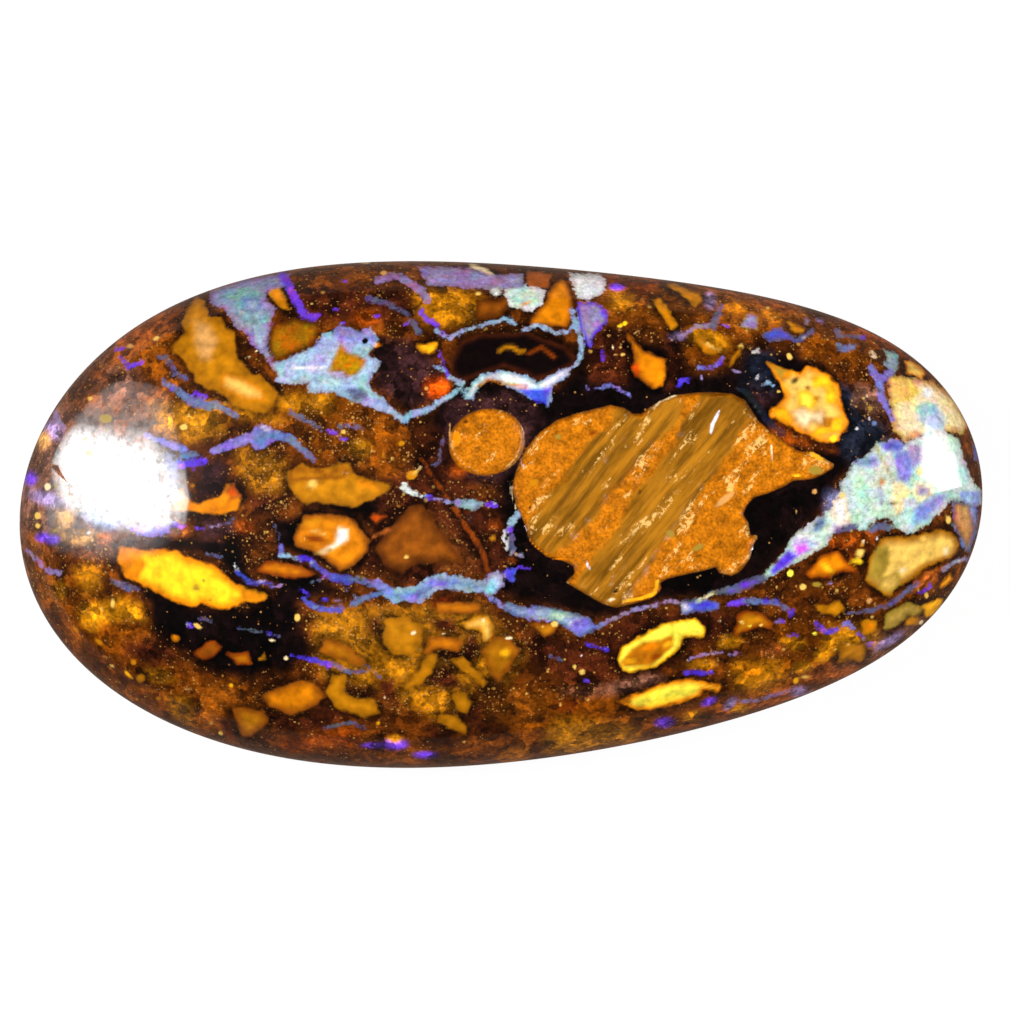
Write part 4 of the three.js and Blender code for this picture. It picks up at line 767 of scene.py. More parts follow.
# Small grains and pits on top of everything, and thin lines of painted highlight along the clay patches'
# edges
grainAndEdgeHighlightMarks = {
    "areas": [
    ],
    "lines": [
        ("night", (0.05,), [9.9, 7, 10, 6.9]),
        ("cream", (0.06,), [10.65, 2.75, 10.65, 2.1]),
        ("white", (0.08, 0.14, 0.06), [8.25, 3.2, 8.35, 3.6, 8.6, 4.1]),
        # the next six lines follow the clay patches' edges: painted highlight where the edge of the polish
        # catches the light
        ("honey", (0.08, 0.12, 0.12), [4.8, -3.4, 5.5, -3.3, 6.05, -3.1, 6.15, -2.6]),
        ("orange", (0.06,), [1.1, -0.95, 1.5, -1.35, 2, -1.7, 2.9, -1.8]),
        ("tan", (0.05,), [-2, 3.6, -2, 2.9, -1.85, 2.4, -1.4, 1.95, -0.9, 1.65]),
        ("tan", (0.05,), [0.95, 3.5, 0.95, 2.9]),
        ("cream", (0.05,), [0.4, 1.4, 0.4, 0.8, 0.6, 0.2]),
        ("cream", (0.05,), [5.9, 4.15, 6.3, 4.45, 6.9, 4.7]),
        ("cream", (0.08,), [0.15, -4.7, 0.2, -4.85, 0.4, -4.85]),
    ],
    "spots": [
        ("straw", -13.7, 7, 0.25, 0.15, 20), ("tan", -14.75, 6.7, 0.3, 0.18, 0),
        ("straw", -16.3, 4.6, 0.22, 0.18, 0), ("tan", -15.5, 4.35, 0.15, 0.12, 0),
        ("olive", -15.65, 3.8, 0.5, 0.35, 0), ("straw", -12.5, 3.45, 0.3, 0.25, 0),
        ("straw", -12.3, 3.9, 0.2, 0.15, 0), ("tan", -4.65, 9.6, 0.25, 0.2, 0),
        ("cream", -5.4, 10.05, 0.3, 0.1, 0), ("cream", -9.95, 6.2, 0.12, 0.1, 0),
        ("cream", -9.65, 6.45, 0.12, 0.1, 0), ("night", -5.35, 6.85, 0.25, 0.25, 0),
        ("straw", -0.9, 8.75, 0.2, 0.15, 0), ("yellow", 4.7, 7.45, 0.18, 0.14, 0),
        ("yellow", 4.9, 7.55, 0.18, 0.16, 30), ("tan", 4.7, 7.3, 0.12, 0.08, 0),
        ("cream", 4.4, 6.6, 0.1, 0.18, 0), ("tan", 4.7, 6.6, 0.1, 0.1, 0), ("straw", 4.8, 6.3, 0.16, 0.14, 0),
        ("tan", 4.5, 6.3, 0.1, 0.1, 0), ("tan", 4.25, 7.05, 0.12, 0.1, 0), ("tan", 5.95, 6.85, 0.1, 0.08, 0),
        ("tan", 5.35, 7.2, 0.2, 0.05, 30), ("straw", 10.6, 8.2, 0.14, 0.12, 0),
        ("tan", 9.85, 6.55, 0.1, 0.1, 0), ("straw", 11.4, 6.25, 0.2, 0.28, 20),
        ("mauve", 7.9, 5.4, 0.1, 0.18, 30), ("mauve", 9.3, 5.65, 0.3, 0.1, -20),
        ("straw", 10.95, 4.85, 0.12, 0.1, 0), ("cream", 14.45, 4.7, 0.1, 0.15, 0),
        ("straw", 14.3, 4.6, 0.08, 0.1, 0), ("white", 14.05, 3.4, 0.15, 0.1, 0),
        ("white", 14.55, 3.8, 0.1, 0.1, 0), ("tan", 14.5, 5.55, 0.12, 0.1, 0),
        ("olive", 14.6, 4.2, 0.2, 0.2, 0), ("steel", 14.75, 3.6, 0.2, 0.2, 0),
        ("olive", -16.5, 3, 0.3, 0.14, 20), ("golden", -16.25, 2.45, 0.45, 0.3, 0),
        ("slate", -14.7, 2, 0.12, 0.2, -30), ("slate", -13.7, 1.3, 0.1, 0.12, 0),
        ("olive", -17.65, 1.15, 0.16, 0.18, 0), ("tan", -17.4, 1.3, 0.12, 0.12, 0),
        ("navy", -16.8, 0.25, 0.1, 0.14, 0), ("maroon", -16.55, -0.6, 0.08, 0.22, 0),
        ("olive", -15.6, 3.35, 0.14, 0.12, 0), ("cream", -18, 1.1, 0.3, 0.3, 0),
        ("straw", -18.4, -0.05, 0.28, 0.28, 0), ("straw", -18.4, -0.45, 0.24, 0.2, 0),
        ("olive", -17.65, -0.6, 0.25, 0.12, 30), ("white", -16.3, -0.7, 0.16, 0.12, 0),
        ("straw", -15.35, -3.5, 0.18, 0.36, 0), ("honey", -14.7, -3.7, 0.1, 0.22, 0),
        ("straw", -15.8, -3.75, 0.1, 0.18, 0), ("golden", -15.95, -5.05, 0.4, 0.16, -40),
        ("golden", -16.9, -4.55, 0.3, 0.12, -45), ("honey", -14.8, -6.35, 0.34, 0.12, -45),
        ("bronze", -13.6, -7.3, 0.2, 0.15, 0), ("tan", -14.5, -7.35, 0.12, 0.1, 0),
        ("straw", -15.45, -6, 0.16, 0.08, -30), ("straw", -11.95, -4.4, 0.34, 0.16, -30),
        ("tan", -12.35, -6.9, 0.3, 0.08, 0), ("tan", -11.5, -8.3, 0.14, 0.12, 0),
        ("golden", -14.55, -5.85, 0.2, 0.22, 0), ("olive", -11.7, -2.6, 0.12, 0.12, 0),
        ("bronze", -11.45, -3.35, 0.16, 0.14, 0), ("olive", -13.65, -1.6, 0.1, 0.12, 0),
        ("olive", -14.65, -2, 0.1, 0.1, 0), ("bronze", -12.15, 1.15, 0.2, 0.2, 0),
        ("straw", -6.2, 3.25, 0.2, 0.16, 0), ("golden", -3.9, 2.8, 0.24, 0.2, 0),
        ("straw", -4.25, 2.2, 0.14, 0.14, 0), ("golden", -4.6, 2.3, 0.1, 0.3, 10),
        ("tan", -5.05, 2.5, 0.12, 0.12, 0), ("straw", -7.7, -0.95, 0.1, 0.12, 0),
        ("straw", -9.25, -0.7, 0.12, 0.14, 0), ("golden", -3.5, 1.55, 0.45, 0.35, 20),
        ("straw", -3.3, 1.7, 0.25, 0.08, 30), ("cream", -3.15, 1.9, 0.1, 0.1, 0),
        ("straw", -3.7, -1.65, 0.2, 0.16, 0), ("straw", -8, -4.05, 0.2, 0.28, 0),
        ("cream", -8.45, -5.65, 0.18, 0.18, 0), ("cream", -9, -4.95, 0.22, 0.1, -20),
        ("straw", -7.65, -4.5, 0.09, 0.09, 0), ("honey", -10.65, -6.75, 0.17, 0.17, 0),
        ("straw", -11.15, -8.7, 0.18, 0.18, 0), ("honey", -4.85, -8.25, 0.15, 0.14, 0),
        ("cream", -4.6, -7.2, 0.1, 0.1, 0), ("cream", -3.45, -4.65, 0.22, 0.18, 20),
        ("cream", -2.25, -4.7, 0.12, 0.1, 0), ("cream", -0.7, -4.15, 0.12, 0.14, 0),
        ("night", 0.25, -4.7, 0.12, 0.12, 0), ("straw", 2.1, -4.3, 0.3, 0.25, 0),
        ("straw", 1.65, -4.4, 0.14, 0.12, 0), ("straw", 2.9, -6, 0.14, 0.18, 20),
        ("straw", 3.2, -6.2, 0.26, 0.22, 0), ("white", 3.15, -5.55, 0.08, 0.08, 0),
        ("tan", 1.85, -6.1, 0.12, 0.12, 0), ("tan", 1.55, -6.45, 0.1, 0.1, 0),
        ("golden", 2.15, -5.9, 0.12, 0.1, 0), ("tan", 0.65, -6.25, 0.1, 0.1, 0),
        ("straw", 1, -7.05, 0.1, 0.1, 0), ("straw", 2.35, -7.5, 0.13, 0.16, 0),
        ("straw", 3.45, -7.3, 0.12, 0.1, 0), ("golden", 0.75, -7.55, 0.1, 0.1, 0),
        ("straw", -1.45, -9, 0.12, 0.1, 0), ("golden", -2.15, -8.45, 0.1, 0.1, 0),
        ("straw", 9.5, -4.25, 0.24, 0.14, -20), ("lemon", 9.8, -4.4, 0.14, 0.12, 0),
        ("straw", 10.25, -4.35, 0.14, 0.1, 0), ("cream", 8.6, -4.2, 0.1, 0.08, 0),
        ("honey", 11.7, -6.6, 0.2, 0.28, 0), ("tan", 10.75, -5.6, 0.08, 0.25, 0),
        ("lemon", 11.4, -2.3, 0.24, 0.28, 0), ("straw", 11.9, -2.85, 0.25, 0.24, 0),
        ("olive", 12.45, -2.75, 0.36, 0.18, 0), ("mauve", 13, -2.7, 0.2, 0.1, 0),
        ("tan", 14.55, -3.4, 0.2, 0.24, 0), ("straw", 14.8, -3.55, 0.1, 0.16, 0),
        ("straw", 14.7, -4.05, 0.12, 0.1, 0), ("lemon", 12.4, -4.7, 0.17, 0.13, 0),
        ("straw", 13.75, -5.15, 0.17, 0.12, 0), ("straw", 13.25, -5.35, 0.14, 0.1, 0),
        ("straw", 12.1, -6.45, 0.34, 0.12, 0), ("straw", 16.9, -3.2, 0.18, 0.24, 0),
        ("straw", 16.55, -3, 0.1, 0.12, 0), ("cream", 16.75, -4.3, 0.18, 0.2, 0),
        ("straw", 17.75, -0.2, 0.24, 0.32, 10), ("maroon", 17.5, 0, 0.2, 0.2, 0),
        ("white", 14.85, -0.95, 0.08, 0.14, 20), ("cream", 14.3, -1.05, 0.14, 0.14, 0),
        ("golden", 14.25, -1.2, 0.16, 0.2, 0), ("tan", 12.35, 0.9, 0.2, 0.2, 0),
        ("tan", 11.6, 0.15, 0.08, 0.18, 20), ("straw", 16.35, -0.75, 0.1, 0.08, 0),
        ("night", 4.5, -3, 0.2, 0.18, 0), ("maroon", 5.5, -2.85, 0.1, 0.2, 0),
        ("umber", 5.45, 0.9, 0.12, 0.18, -30), ("cream", 4.35, -3.35, 0.3, 0.14, 10),
        ("maroon", 1.15, 0.25, 0.16, 0.18, 0), ("rust", 3.6, 3.2, 0.4, 0.14, 30),
        ("olive", 2.25, 3.05, 0.24, 0.2, 0), ("white", 3.4, -1.95, 0.1, 0.34, 25),
        # the first spot below, a white streak on the clay's edge, is a painted highlight
        ("white", 0.85, 2, 0.08, 0.28, 10), ("olive", 6.65, -0.75, 0.4, 0.26, -20),
        ("olive", 7.75, -1.3, 0.5, 0.22, 20), ("yellow", 11.65, 1.55, 0.32, 0.12, 0),
        ("umber", 10.2, 2.35, 0.2, 0.08, 20), ("tan", 8.8, 0.6, 0.9, 0.25, 38),
        ("straw", 9.05, 1, 0.4, 0.12, 20), ("orange", -1.75, 3, 0.3, 0.6, 0),
        ("umber", -1.4, 3.65, 0.25, 0.16, 0), ("golden", 1.3, 1.25, 0.4, 0.25, 20),
        ("olive", 12.4, 1.75, 0.6, 0.35, -10), ("honey", 12.4, 2.3, 0.7, 0.18, -30),
        ("yellow", 13.1, 3, 0.32, 0.28, 0), ("cream", -6.2, 1.65, 0.1, 0.1, 0),
        ("cream", -6, 1.65, 0.1, 0.08, 0),
    ],
}

# Where the ironstone is sandy, 0 to 1: amount, softness, outline
sandMarks = {
    "everywhere": 0.3,
    "areas": [
        (0.9, 0.4, [-10.4, 2.7, -8, 2.6, -7.8, 0.6, -9, -0.2, -10.3, 0.6]),
        (0.8, 0.5, [
            -7.6, -3.8, -3.4, -3.6, 0.8, -4.6, 1.2, -6.8, -1, -7.3, -2, -8.3, -4.4, -8.3, -7.6, -6.4]),
        (0.7, 0.4, [-13.9, 4.4, -11.2, 4.4, -8.6, 4.9, -6.6, 4.8, -4, 3.4, -3, 1.4, -7.6, 2.2, -11.8, 3.2]),
        (0.6, 0.4, [-12.6, 7, -11, 6.8, -9, 5, -9.4, 4.2, -11.4, 4.8]),
        (0.7, 0.3, [-3.3, 0.6, -1.9, 0, -0.9, -1.6, -1, -2.3, -3.2, -2.2, -3, -0.6]),
        (0.7, 0.4, [11.9, 6.3, 13.6, 6.2, 15, 5, 14.9, 3.4, 13.9, 3.8, 13.4, 5, 12, 5.9]),
        (0.6, 0.4, [11, -2.6, 12, -2.5, 15, -3.2, 14, -4.4, 9.4, -4.6]),
        (0.9, 0.5, [-16.8, -0.9, -15.6, -1, -15.2, -1.9, -16.4, -2]),
        (0.5, 0.4, [0.4, -5.8, 2.4, -5.4, 3.6, -6.4, 1.8, -7.3, 0.4, -7]),
        (0.6, 0.4, [-10.6, -1, -9.2, -0.6, -9, -1.6, -10.3, -2.2]),
        (0.1, 0.3, [4, -7, 10, -7, 9, -8.3, 0, -9.9, -6, -9.9, -6, -9, 2, -7.9]),
        (0.05, 0.3, [
            0.6, -1.9, 2.4, -2, 6, -3.6, 9, -2.6, 9.9, -1.6, 10.6, 0.6, 9.7, 0.3, 10.4, -2.2, 7.6, -3.2,
            3.6, -4.2, 1, -3.5]),
        (0.03, 0.3, [-2, 7, 3, 7, 3, 5.6, -2, 5.4]),
    ],
}


def outlineAt(angle):
    u = np.cos(angle)
    halfWidth = sum(value * u ** power for power, value in enumerate(stone["halfWidthAlong"]))
    bow = sum(value * u ** power for power, value in enumerate(stone["bowAlong"]))
    return u * stone["length"] / 2, np.sin(angle) * halfWidth + bow


def domeProfile(turn):
    share = np.sin(turn) ** (2 / stone["domeFullness"])
    rise = stone["height"] - stone["girdle"]
    return share, stone["girdle"] + rise * np.maximum(np.cos(turn), 0) ** (2 / stone["domeFullness"])


# Puts the points of a square grid, with its rings below the rim, on the stone
def placePoints(grid):
    across = grid[:, 0] * np.sqrt(1 - grid[:, 1] ** 2 / 2)
    up = grid[:, 1] * np.sqrt(1 - grid[:, 0] ** 2 / 2)
    radius = np.minimum(np.hypot(across, up), 1)
    angle = np.arctan2(up, across)
    turns = np.linspace(0, math.pi / 2, stone["profileSteps"])
    shares, heights = domeProfile(turns)
    steps = np.hypot(np.diff(shares) * stone["meanRadius"], np.diff(heights))
    walked = np.concatenate([[0], np.cumsum(steps)])
    share, height = domeProfile(np.interp(radius, walked / walked[-1], turns))
    ring = grid[:, 2]
    below = ring > 0.5
    quarter = np.minimum(ring / stone["bevelRings"], 1) * math.pi / 2
    power = 2 / stone["bevelFullness"]
    inward = 1 - stone["backShare"]
    share[below] = (stone["backShare"] + inward * np.maximum(np.cos(quarter), 0) ** power)[below]
    height[below] = (stone["girdle"] * (1 - np.sin(quarter) ** power))[below]
    back = ring > stone["bevelRings"] + 0.5
    share[back] = stone["backRing"]
    height[back] = 0
    rimX, rimY = outlineAt(angle)
    outline = outlineAt(np.arange(stone["outlineSteps"]) * 2 * math.pi / stone["outlineSteps"])[1]
    middleY = (outline.max() + outline.min()) / 2
    return rimX * share, (rimY - middleY) * share, height


def makeStone():
    shape = bmesh.new()
    bmesh.ops.create_grid(shape, x_segments=stone["cellsAlong"], y_segments=stone["cellsAcross"], size=1)
    rim = [edge for edge in shape.edges if edge.is_boundary]
    for ring in range(1, stone["bevelRings"] + 2):
        made = bmesh.ops.extrude_edge_only(shape, edges=rim)["geom"]
        points = [item for item in made if isinstance(item, bmesh.types.BMVert)]
        bmesh.ops.translate(shape, verts=points, vec=(0, 0, 1))
        rim = [edge for edge in shape.edges if edge.is_boundary]
    bmesh.ops.contextual_create(shape, geom=rim)
    mesh = bpy.data.meshes.new("boulder_opal_stone")
    shape.to_mesh(mesh)
    shape.free()
    return mesh


stoneMesh = makeStone()
grid = np.empty(len(stoneMesh.vertices) * 3)
stoneMesh.vertices.foreach_get("co", grid)
grid = grid.reshape(-1, 3)
pointX, pointY, pointZ = placePoints(grid)
onDome = grid[:, 2] < 0.5
print("stone shaped:", len(stoneMesh.vertices), "points")

# The clay patches: how deep inside them each point is, and how deep inside their channels
largeDepth = areaDepth(pointX, pointY, clayPatches["large"])
roundDepth = spotDepth(pointX, pointY, clayPatches["round"])
clayDepth = np.maximum(largeDepth, roundDepth)
channelDepth = np.full(len(pointX), outside)
for startX, startY, endX, endY, width in clayPatches["channels"]:
    inside = lineDepth(pointX, pointY, [startX, startY, endX, endY], [width])
    channelDepth = np.maximum(channelDepth, np.minimum(inside, largeDepth))
clayDepth[~onDome] = outside
channelDepth[~onDome] = outside

clayShare = smoothStep(0, stone["ochreWall"], clayDepth)
channelShare = smoothStep(0, stone["ochreWall"], channelDepth)
sunk = mix(clayShare * stone["ochreDepth"], stone["channelDepth"], channelShare)
grainTurn = math.radians(clayPatches["grain"])
for index in np.flatnonzero(clayShare > 0):
    along = pointX[index] * math.cos(grainTurn) + pointY[index] * math.sin(grainTurn)
    across = pointY[index] * math.cos(grainTurn) - pointX[index] * math.sin(grainTurn)
    lumps = 0.0
    for scale, lump in stone["ochreLumps"]:
        lumps += noise.noise(Vector((along * scale, across * scale, 0))) * lump
    ridges = 0.0
    for alongScale, acrossScale, ridge in stone["ochreRidges"]:
        ridges += noise.noise(Vector((along * alongScale, across * acrossScale, 5))) * ridge
    if roundDepth[index] <= 0:
        lumps += ridges * mix(stone["ridgesOutside"], 1.0, channelShare[index])
    sunk[index] -= lumps * clayShare[index]
pointZ = pointZ - np.maximum(sunk, 0)
stoneMesh.vertices.foreach_set("co", (np.stack([pointX, pointY, pointZ], axis=1) * mm).ravel())

# The paint: soft ground colours with painted sheen, then patches, opal, and grains with painted highlights on
# the clay's edges, each with a depth for a crisp edge
groundColour = paintGround(pointX, pointY, groundMarks, tint("umber"))
sand = np.full(len(pointX), sandMarks["everywhere"])
for amount, soft, points in sandMarks["areas"]:
    sand = mix(sand, amount, smoothStep(-soft, soft, areaDepth(pointX, pointY, points)))
layers = {
    "patch": paintMarks(pointX, pointY, patchMarks),
    "opal": paintMarks(pointX, pointY, opalMarks),
    "grain": paintMarks(pointX, pointY, grainAndEdgeHighlightMarks),
}
lower = grid[:, 2] > stone["paintedRings"] + 0.5
groundColour[lower] = tint("umber")


def addNumbers(name, values):
    layer = stoneMesh.attributes.new(name, "FLOAT", "POINT")
    layer.data.foreach_set("value", np.asarray(values, np.float32))


def addColours(name, colours):
    layer = stoneMesh.attributes.new(name, "FLOAT_COLOR", "POINT")
    filled = np.concatenate([colours, np.ones((len(colours), 1))], axis=1)
    layer.data.foreach_set("color", filled.astype(np.float32).ravel())


addColours("groundColour", groundColour)
addNumbers("sand", sand)
addNumbers("clayDepth", clayDepth)
addNumbers("channelDepth", channelDepth)
for name, (depth, colour) in layers.items():
    depth[lower] = outside
    addNumbers(name + "Depth", depth)
    addColours(name + "Colour", colour)
print("markings painted")


# Node helpers

def addNode(tree, kind, **settings):
    node = tree.nodes.new(kind)
    for key, value in settings.items():
        setattr(node, key, value)
    return node


# Links each given value into the socket of that name or number, or sets it there
def feed(tree, node, inputs):
    for socket, value in inputs.items():
        if isinstance(value, bpy.types.NodeSocket):
            tree.links.new(value, node.inputs[socket])
        else:
            node.inputs[socket].default_value = value
    return node


def calculate(tree, operation, *values):
    node = addNode(tree, "ShaderNodeMath", operation=operation)
    return feed(tree, node, dict(enumerate(values))).outputs[0]


def blendColours(tree, share, first, second, how="MIX"):
    node = addNode(tree, "ShaderNodeMix", data_type="RGBA", blend_type=how)
    return feed(tree, node, {0: share, 6: first, 7: second}).outputs[2]


def spread(tree, value, fromLow, fromHigh, toLow, toHigh, how="SMOOTHSTEP"):
    node = addNode(tree, "ShaderNodeMapRange", interpolation_type=how)
    return feed(tree, node, {0: value, 1: fromLow, 2: fromHigh, 3: toLow, 4: toHigh}).outputs[0]


def newGroup(name, inputs, outputs):
    group = bpy.data.node_groups.new(name, "ShaderNodeTree")
    for label, kind, value in inputs:
        socket = group.interface.new_socket(label, in_out="INPUT", socket_type=kind)
        if value is not None:
            socket.default_value = value
    for label, kind in outputs:
        group.interface.new_socket(label, in_out="OUTPUT", socket_type=kind)
    return group, addNode(group, "NodeGroupInput"), addNode(group, "NodeGroupOutput")


# A mark's edge, crisp but slightly ragged
def buildEdgeGroup():
    group, source, result = newGroup(
        "markEdge",
        [
            ("Vector", "NodeSocketVector", None),
            ("Depth", "NodeSocketFloat", 0.0),
            ("Softness", "NodeSocketFloat", 0.04),
            ("Raggedness", "NodeSocketFloat", 0.1),
            ("Rag Scale", "NodeSocketFloat", 4.0),
        ],
        [("Mask", "NodeSocketFloat")],
    )
    wobble = addNode(group, "ShaderNodeTexNoise")
    feed(group, wobble, {
        "Vector": source.outputs["Vector"],
        "Scale": source.outputs["Rag Scale"],
        "Detail": 3.0,
    })
    centred = calculate(group, "SUBTRACT", wobble.outputs[0], 0.5)
    moved = calculate(group, "MULTIPLY_ADD", centred, source.outputs["Raggedness"], source.outputs["Depth"])
    low = calculate(group, "MULTIPLY", source.outputs["Softness"], -1.0)
    mask = spread(group, moved, low, source.outputs["Softness"], 0.0, 1.0)
    feed(group, result, {"Mask": mask})
    return group


# A factor that varies over the stone
def buildMottleGroup():
    group, source, result = newGroup(
        "mottle",
        [
            ("Vector", "NodeSocketVector", None),
            ("Scale", "NodeSocketFloat", 3.0),
            ("Detail", "NodeSocketFloat", 4.0),
            ("Low", "NodeSocketFloat", 0.7),
            ("High", "NodeSocketFloat", 1.3),
        ],
        [("Factor", "NodeSocketFloat")],
    )
    clouds = addNode(group, "ShaderNodeTexNoise")
    feed(group, clouds, {name: source.outputs[name] for name in ("Vector", "Scale", "Detail")})
    low, high = source.outputs["Low"], source.outputs["High"]
    feed(group, result, {"Factor": spread(group, clouds.outputs[0], 0.3, 0.7, low, high, "LINEAR")})
    return group


# Round grains of sand, one to a cell, of which a share shows
def buildSandGroup():
    group, source, result = newGroup(
        "sandGrains",
        [
            ("Vector", "NodeSocketVector", None),
            ("Scale", "NodeSocketFloat", 5.0),
            ("Share", "NodeSocketFloat", 0.3),
            ("Size", "NodeSocketFloat", 0.4),
        ],
        [("Mask", "NodeSocketFloat"), ("Chance", "NodeSocketFloat")],
    )
    cells = addNode(group, "ShaderNodeTexVoronoi")
    feed(group, cells, {"Vector": source.outputs["Vector"], "Scale": source.outputs["Scale"]})
    chances = addNode(group, "ShaderNodeSeparateColor")
    feed(group, chances, {0: cells.outputs["Color"]})
    shown = calculate(group, "LESS_THAN", chances.outputs[0], source.outputs["Share"])
    reach = calculate(group, "MULTIPLY", source.outputs["Size"], chances.outputs[1])
    inner = calculate(group, "MULTIPLY", reach, 0.4)
    grain = spread(group, cells.outputs["Distance"], inner, reach, 1.0, 0.0)
    feed(group, result, {"Mask": calculate(group, "MULTIPLY", grain, shown), "Chance": chances.outputs[2]})
    return group


# Irregular patches, each with its own factor
def buildPatchworkGroup():
    group, source, result = newGroup(
        "patchwork",
        [
            ("Vector", "NodeSocketVector", None),
            ("Scale", "NodeSocketFloat", 1.0),
            ("Warp", "NodeSocketFloat", 0.6),
            ("Low", "NodeSocketFloat", 0.6),
            ("High", "NodeSocketFloat", 1.4),
        ],
        [("Factor", "NodeSocketFloat")],
    )
    vector = source.outputs["Vector"]
    clouds = addNode(group, "ShaderNodeTexNoise")
    feed(group, clouds, {"Vector": vector, "Scale": 1.7, "Detail": 5.0, "Roughness": 0.7})
    shift = addNode(group, "ShaderNodeVectorMath", operation="SCALE")
    feed(group, shift, {0: clouds.outputs["Color"], "Scale": source.outputs["Warp"]})
    moved = addNode(group, "ShaderNodeVectorMath", operation="ADD")
    feed(group, moved, {0: vector, 1: shift.outputs[0]})
    cells = addNode(group, "ShaderNodeTexVoronoi")
    feed(group, cells, {"Vector": moved.outputs[0], "Scale": source.outputs["Scale"]})
    chance = addNode(group, "ShaderNodeSeparateColor")
    feed(group, chance, {0: cells.outputs["Color"]})
    low, high = source.outputs["Low"], source.outputs["High"]
    feed(group, result, {"Factor": spread(group, chance.outputs[0], 0.1, 0.9, low, high, "LINEAR")})
    return group


# Streaks along one direction, from 0 to 1
def buildStreakGroup():
    group, source, result = newGroup(
        "streaks",
        [
            ("Vector", "NodeSocketVector", None),
            ("Turn", "NodeSocketFloat", 0.0),
            ("Stretch", "NodeSocketVector", (0.3, 2.4, 1.0)),
        ],
        [("Factor", "NodeSocketFloat")],
    )
    turned = addNode(group, "ShaderNodeVectorRotate", rotation_type="Z_AXIS")
    feed(group, turned, {"Vector": source.outputs["Vector"], "Angle": source.outputs["Turn"]})
    pulled = addNode(group, "ShaderNodeVectorMath", operation="MULTIPLY")
    feed(group, pulled, {0: turned.outputs[0], 1: source.outputs["Stretch"]})
    lines = addNode(group, "ShaderNodeTexNoise")
    feed(group, lines, {"Vector": pulled.outputs[0], "Scale": 1.0, "Detail": 5.0, "Roughness": 0.65})
    feed(group, result, {"Factor": spread(group, lines.outputs[0], 0.3, 0.7, 0.0, 1.0, "LINEAR")})
    return group


# The play of colour of opal, in facets
def buildOpalGroup():
    group, source, result = newGroup(
        "opalPlay",
        [
            ("Vector", "NodeSocketVector", None),
            ("Colour", "NodeSocketColor", None),
            ("Amount", "NodeSocketFloat", 0.55),
            ("Facet Scale", "NodeSocketFloat", 1.7),
        ],
        [("Colour", "NodeSocketColor")],
    )
    vector = source.outputs["Vector"]
    amount = source.outputs["Amount"]
    hues = addNode(group, "ShaderNodeTexNoise")
    feed(group, hues, {"Vector": vector, "Scale": 2.2, "Detail": 4.0, "Roughness": 0.6})
    played = blendColours(group, amount, source.outputs["Colour"], hues.outputs["Color"], "OVERLAY")
    shift = addNode(group, "ShaderNodeVectorMath", operation="ADD")
    feed(group, shift, {0: vector, 1: hues.outputs["Color"]})
    facets = addNode(group, "ShaderNodeTexVoronoi")
    feed(group, facets, {"Vector": shift.outputs[0], "Scale": source.outputs["Facet Scale"]})
    played = blendColours(group, 0.3, played, facets.outputs["Color"], "SOFT_LIGHT")
    flecks = addNode(group, "ShaderNodeTexNoise")
    feed(group, flecks, {"Vector": vector, "Scale": 5.0, "Detail": 5.0, "Roughness": 0.7})
    bright = spread(group, flecks.outputs[0], 0.3, 0.7, 0.5, 1.25, "LINEAR")
    feed(group, result, {"Colour": blendColours(group, 1.0, played, bright, "MULTIPLY")})
    return group


edgeGroup = buildEdgeGroup()
patchworkGroup = buildPatchworkGroup()
streakGroup = buildStreakGroup()
opalGroup = buildOpalGroup()
mottleGroup = buildMottleGroup()
sandGroup = buildSandGroup()

